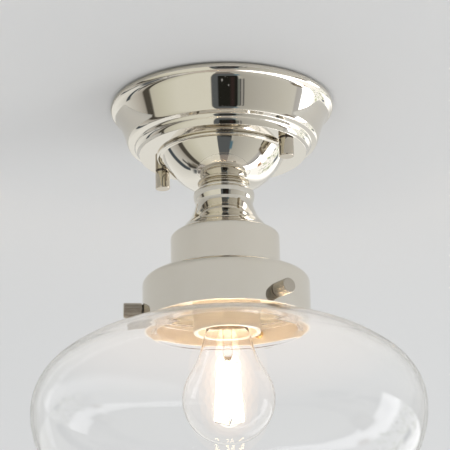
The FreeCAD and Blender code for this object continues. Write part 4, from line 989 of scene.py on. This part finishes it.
def make_world():
    """Soft even light, and a room of soft patches that only polished metal and glass show."""
    world = bpy.data.worlds.new("Studio room")
    bpy.context.scene.world = world
    world.use_nodes = True
    tree = world.node_tree
    tree.nodes.clear()
    turn = tree.nodes.new("ShaderNodeVectorRotate")
    turn.rotation_type = "Z_AXIS"
    fill(tree, turn, Vector=tree.nodes.new("ShaderNodeTexCoord").outputs["Generated"], Angle=-CAMERA_TURN)
    parts = fill(tree, tree.nodes.new("ShaderNodeSeparateXYZ"), Vector=turn.outputs[0]).outputs
    azimuth = math_node(tree, "ARCTAN2", parts[0], times(tree, parts[1], -1.0))
    ramp = tree.nodes.new("ShaderNodeValToRGB")
    bands = ramp.color_ramp
    while len(bands.elements) > 1:
        bands.elements.remove(bands.elements[-1])
    for index, (angle, tint) in enumerate(ROOM_BANDS):
        place = (angle + 180) / 360
        stop = bands.elements[0] if index == 0 else bands.elements.new(place)
        stop.position = place
        stop.color = tint + (1,)
    tree.links.new(spread(tree, azimuth, -math.pi, math.pi), ramp.inputs[0])
    degrees = times(tree, azimuth, math.degrees(1))
    height = times(tree, math_node(tree, "ARCSINE", parts[2]), math.degrees(1))
    place = fill(tree, tree.nodes.new("ShaderNodeCombineXYZ"), X=degrees, Y=height).outputs[0]
    stripes = spread(tree, math_node(tree, "SINE", times(tree, azimuth, 150)), -1, 1, 0, 0.35)
    striped = times(tree, between(tree, degrees, 99, 150, 2), stripes)
    room = blend_colours(tree, striped, ramp.outputs["Color"], (1.2, 1.2, 1.25))
    mottled = times(tree, between(tree, degrees, 112, 139, 3), between(tree, height, -34, 4, 4))
    for scale, low, tint in ((0.22, 0.53, (0.62, 0.70, 0.40)), (0.31, 0.575, (0.13, 0.16, 0.08))):
        spots = spread(tree, noise(tree, place, scale, 3, 0.7), low, 0.60)
        room = blend_colours(tree, times(tree, mottled, spots), room, tint)
    for left, right, foot, top, soft, tint in ROOM_PATCHES:
        share = times(tree, between(tree, degrees, left, right, soft), between(tree, height, foot, top, soft))
        room = blend_colours(tree, share, room, tint)
    room = blend_colours(tree, spread(tree, height, -84, -74), (0.42, 0.39, 0.35), room)
    room = blend_colours(tree, spread(tree, height, 3, 6), room, (0.66, 0.66, 0.65))
    ray = tree.nodes.new("ShaderNodeLightPath").outputs
    light = blend_colours(tree, ray["Glossy Depth"], EVEN_LIGHT, room)
    first = math_node(tree, "MAXIMUM", ray["Is Camera Ray"], ray["Is Transmission Ray"])
    straight = math_node(tree, "SUBTRACT", first, ray["Glossy Depth"], clamp=True)
    shown = blend_colours(tree, straight, light, (0.76, 0.76, 0.76))
    background = fill(tree, tree.nodes.new("ShaderNodeBackground"), Color=shown)
    fill(tree, tree.nodes.new("ShaderNodeOutputWorld"), Surface=background.outputs[0])


def add_lamp(name, place, target, power, width, tint=(1, 1, 1)):
    """A soft square lamp that metal and glass don't show."""
    clear_selection()
    aim = Vector(target) - Vector(place)
    bpy.ops.object.light_add(type="AREA", location=place, rotation=aim.to_track_quat("-Z", "Y").to_euler())
    lamp = bpy.context.active_object
    lamp.name = name
    lamp.data.energy = power
    lamp.data.size = width
    lamp.data.color = tint
    lamp.visible_glossy = lamp.visible_camera = lamp.visible_transmission = False


def add_glow(radius, height, strength, tint):
    """One round lamp in the bulb, sized in millimetres, whose strength is for its area."""
    clear_selection()
    bpy.ops.object.light_add(type="POINT", location=(0, 0, height * MM))
    glow = bpy.context.active_object
    glow.name = "bulb_glow"
    glow.data.energy = strength * (FULL_TURN * radius * MM) ** 2
    glow.data.color = tint
    glow.data.shadow_soft_size = radius * MM
    glow.visible_glossy = False
    return glow


def light_bulb():
    """Warm light from the filaments, and the soft glow that the eye sees round them."""
    for radius, strength, tint in (
            (9, 0.40, (1.0, 0.93, 0.80)), (13, 0.13, (1.0, 0.75, 0.50)),
            (18, 0.07, (1.0, 0.60, 0.30)), (26, 0.03, (1.0, 0.55, 0.20))):
        for height in (-214, -203, -192, -181):
            add_glow(radius, height, strength, tint)
    for radius, height, strength in ((9, -171, 0.20), (8, -163, 0.25), (6, -158, 0.3)):
        add_glow(radius, height, strength, (1.0, 0.85, 0.60))
    inside = add_glow(12, -196, 0, (1.0, 0.76, 0.54))
    inside.data.energy = 0.55
    inside.visible_camera = inside.visible_transmission = False
    inside.visible_glossy = True


def beside(right, towards, up):
    """A place given in the camera's own directions about the light's middle."""
    return Matrix.Rotation(CAMERA_TURN, 3, "Z") @ Vector((right, -towards, up))


class LIGHT_OT_stage(Step, bpy.types.Operator):
    """Set up the ceiling, the lamps and the camera"""

    bl_idname = "light.stage"
    bl_label = "Make stage"

    def make(self, scene):
        clear_selection()
        bpy.ops.mesh.primitive_plane_add(size=CEILING_WIDTH)
        ceiling = bpy.context.active_object
        ceiling.name = "ceiling"
        settle(ceiling, Matrix.Translation((0, 0, CEILING_GAP)) @ Matrix.Rotation(math.pi, 4, "X"))
        ceiling.data.materials.append(ceiling_finish(scene.light_colours.ceiling))
        make_world()
        middle = (0, 0, -0.1)
        add_lamp("window_light", beside(1.6, 0.5, -0.9), middle, 8, 0.9, (1.0, 0.99, 0.97))
        add_lamp("front_light", beside(-0.8, 1.7, -1.2), middle, 5, 1.4)
        add_lamp("far_light", beside(0.2, -1.9, -1.2), beside(0.2, -1.9, 0), 8, 2.4)
        light_bulb()
        bpy.ops.object.camera_add(location=CAMERA_PLACE)
        camera = bpy.context.active_object
        camera.name = "photo_camera"
        aim = Euler((math.pi / 2 + CAMERA_TILT, 0, CAMERA_TURN)).to_quaternion()
        camera.rotation_euler = (aim @ Quaternion((0, 0, 1), CAMERA_ROLL)).to_euler()
        camera.data.lens = CAMERA_LENS
        camera.data.sensor_width = 36.0
        camera.data.clip_start = 0.01
        scene.camera = camera
        scene.view_settings.view_transform = "Standard"


class LIGHT_PT_panel(bpy.types.Panel):
    """Lists the steps that build the light"""

    bl_label = "Ceiling light"
    bl_idname = "LIGHT_PT_panel"
    bl_space_type = "VIEW_3D"
    bl_region_type = "UI"
    bl_category = "Ceiling Light"

    def draw(self, context):
        for step in STEPS:
            self.layout.operator(step.bl_idname)


STEPS = (LIGHT_OT_finishes, LIGHT_OT_rose, LIGHT_OT_rose_nuts, LIGHT_OT_dome, LIGHT_OT_neck,
         LIGHT_OT_gallery, LIGHT_OT_thumb_screws, LIGHT_OT_glass, LIGHT_OT_holder, LIGHT_OT_bulb,
         LIGHT_OT_fixings, LIGHT_OT_stage)
SETTINGS = {"light_rose": RoseSizes, "light_neck": NeckSizes, "light_gallery": GallerySizes,
            "light_glass": GlassSizes, "light_bulb": BulbSizes, "light_colours": FinishColours}


def register():
    """Register the settings, the operators and the panel."""
    for kind in (*SETTINGS.values(), *STEPS, LIGHT_PT_panel):
        bpy.utils.register_class(kind)
    for name, kind in SETTINGS.items():
        setattr(bpy.types.Scene, name, bpy.props.PointerProperty(type=kind))


def unregister():
    """Remove what register added."""
    for name in SETTINGS:
        delattr(bpy.types.Scene, name)
    for kind in (LIGHT_PT_panel, *reversed(STEPS), *SETTINGS.values()):
        bpy.utils.unregister_class(kind)


def main():
    """Run every step in order."""
    register()
    for step in STEPS:
        group, name = step.bl_idname.split(".")
        getattr(getattr(bpy.ops, group), name)()


if __name__ == "__main__":
    main()
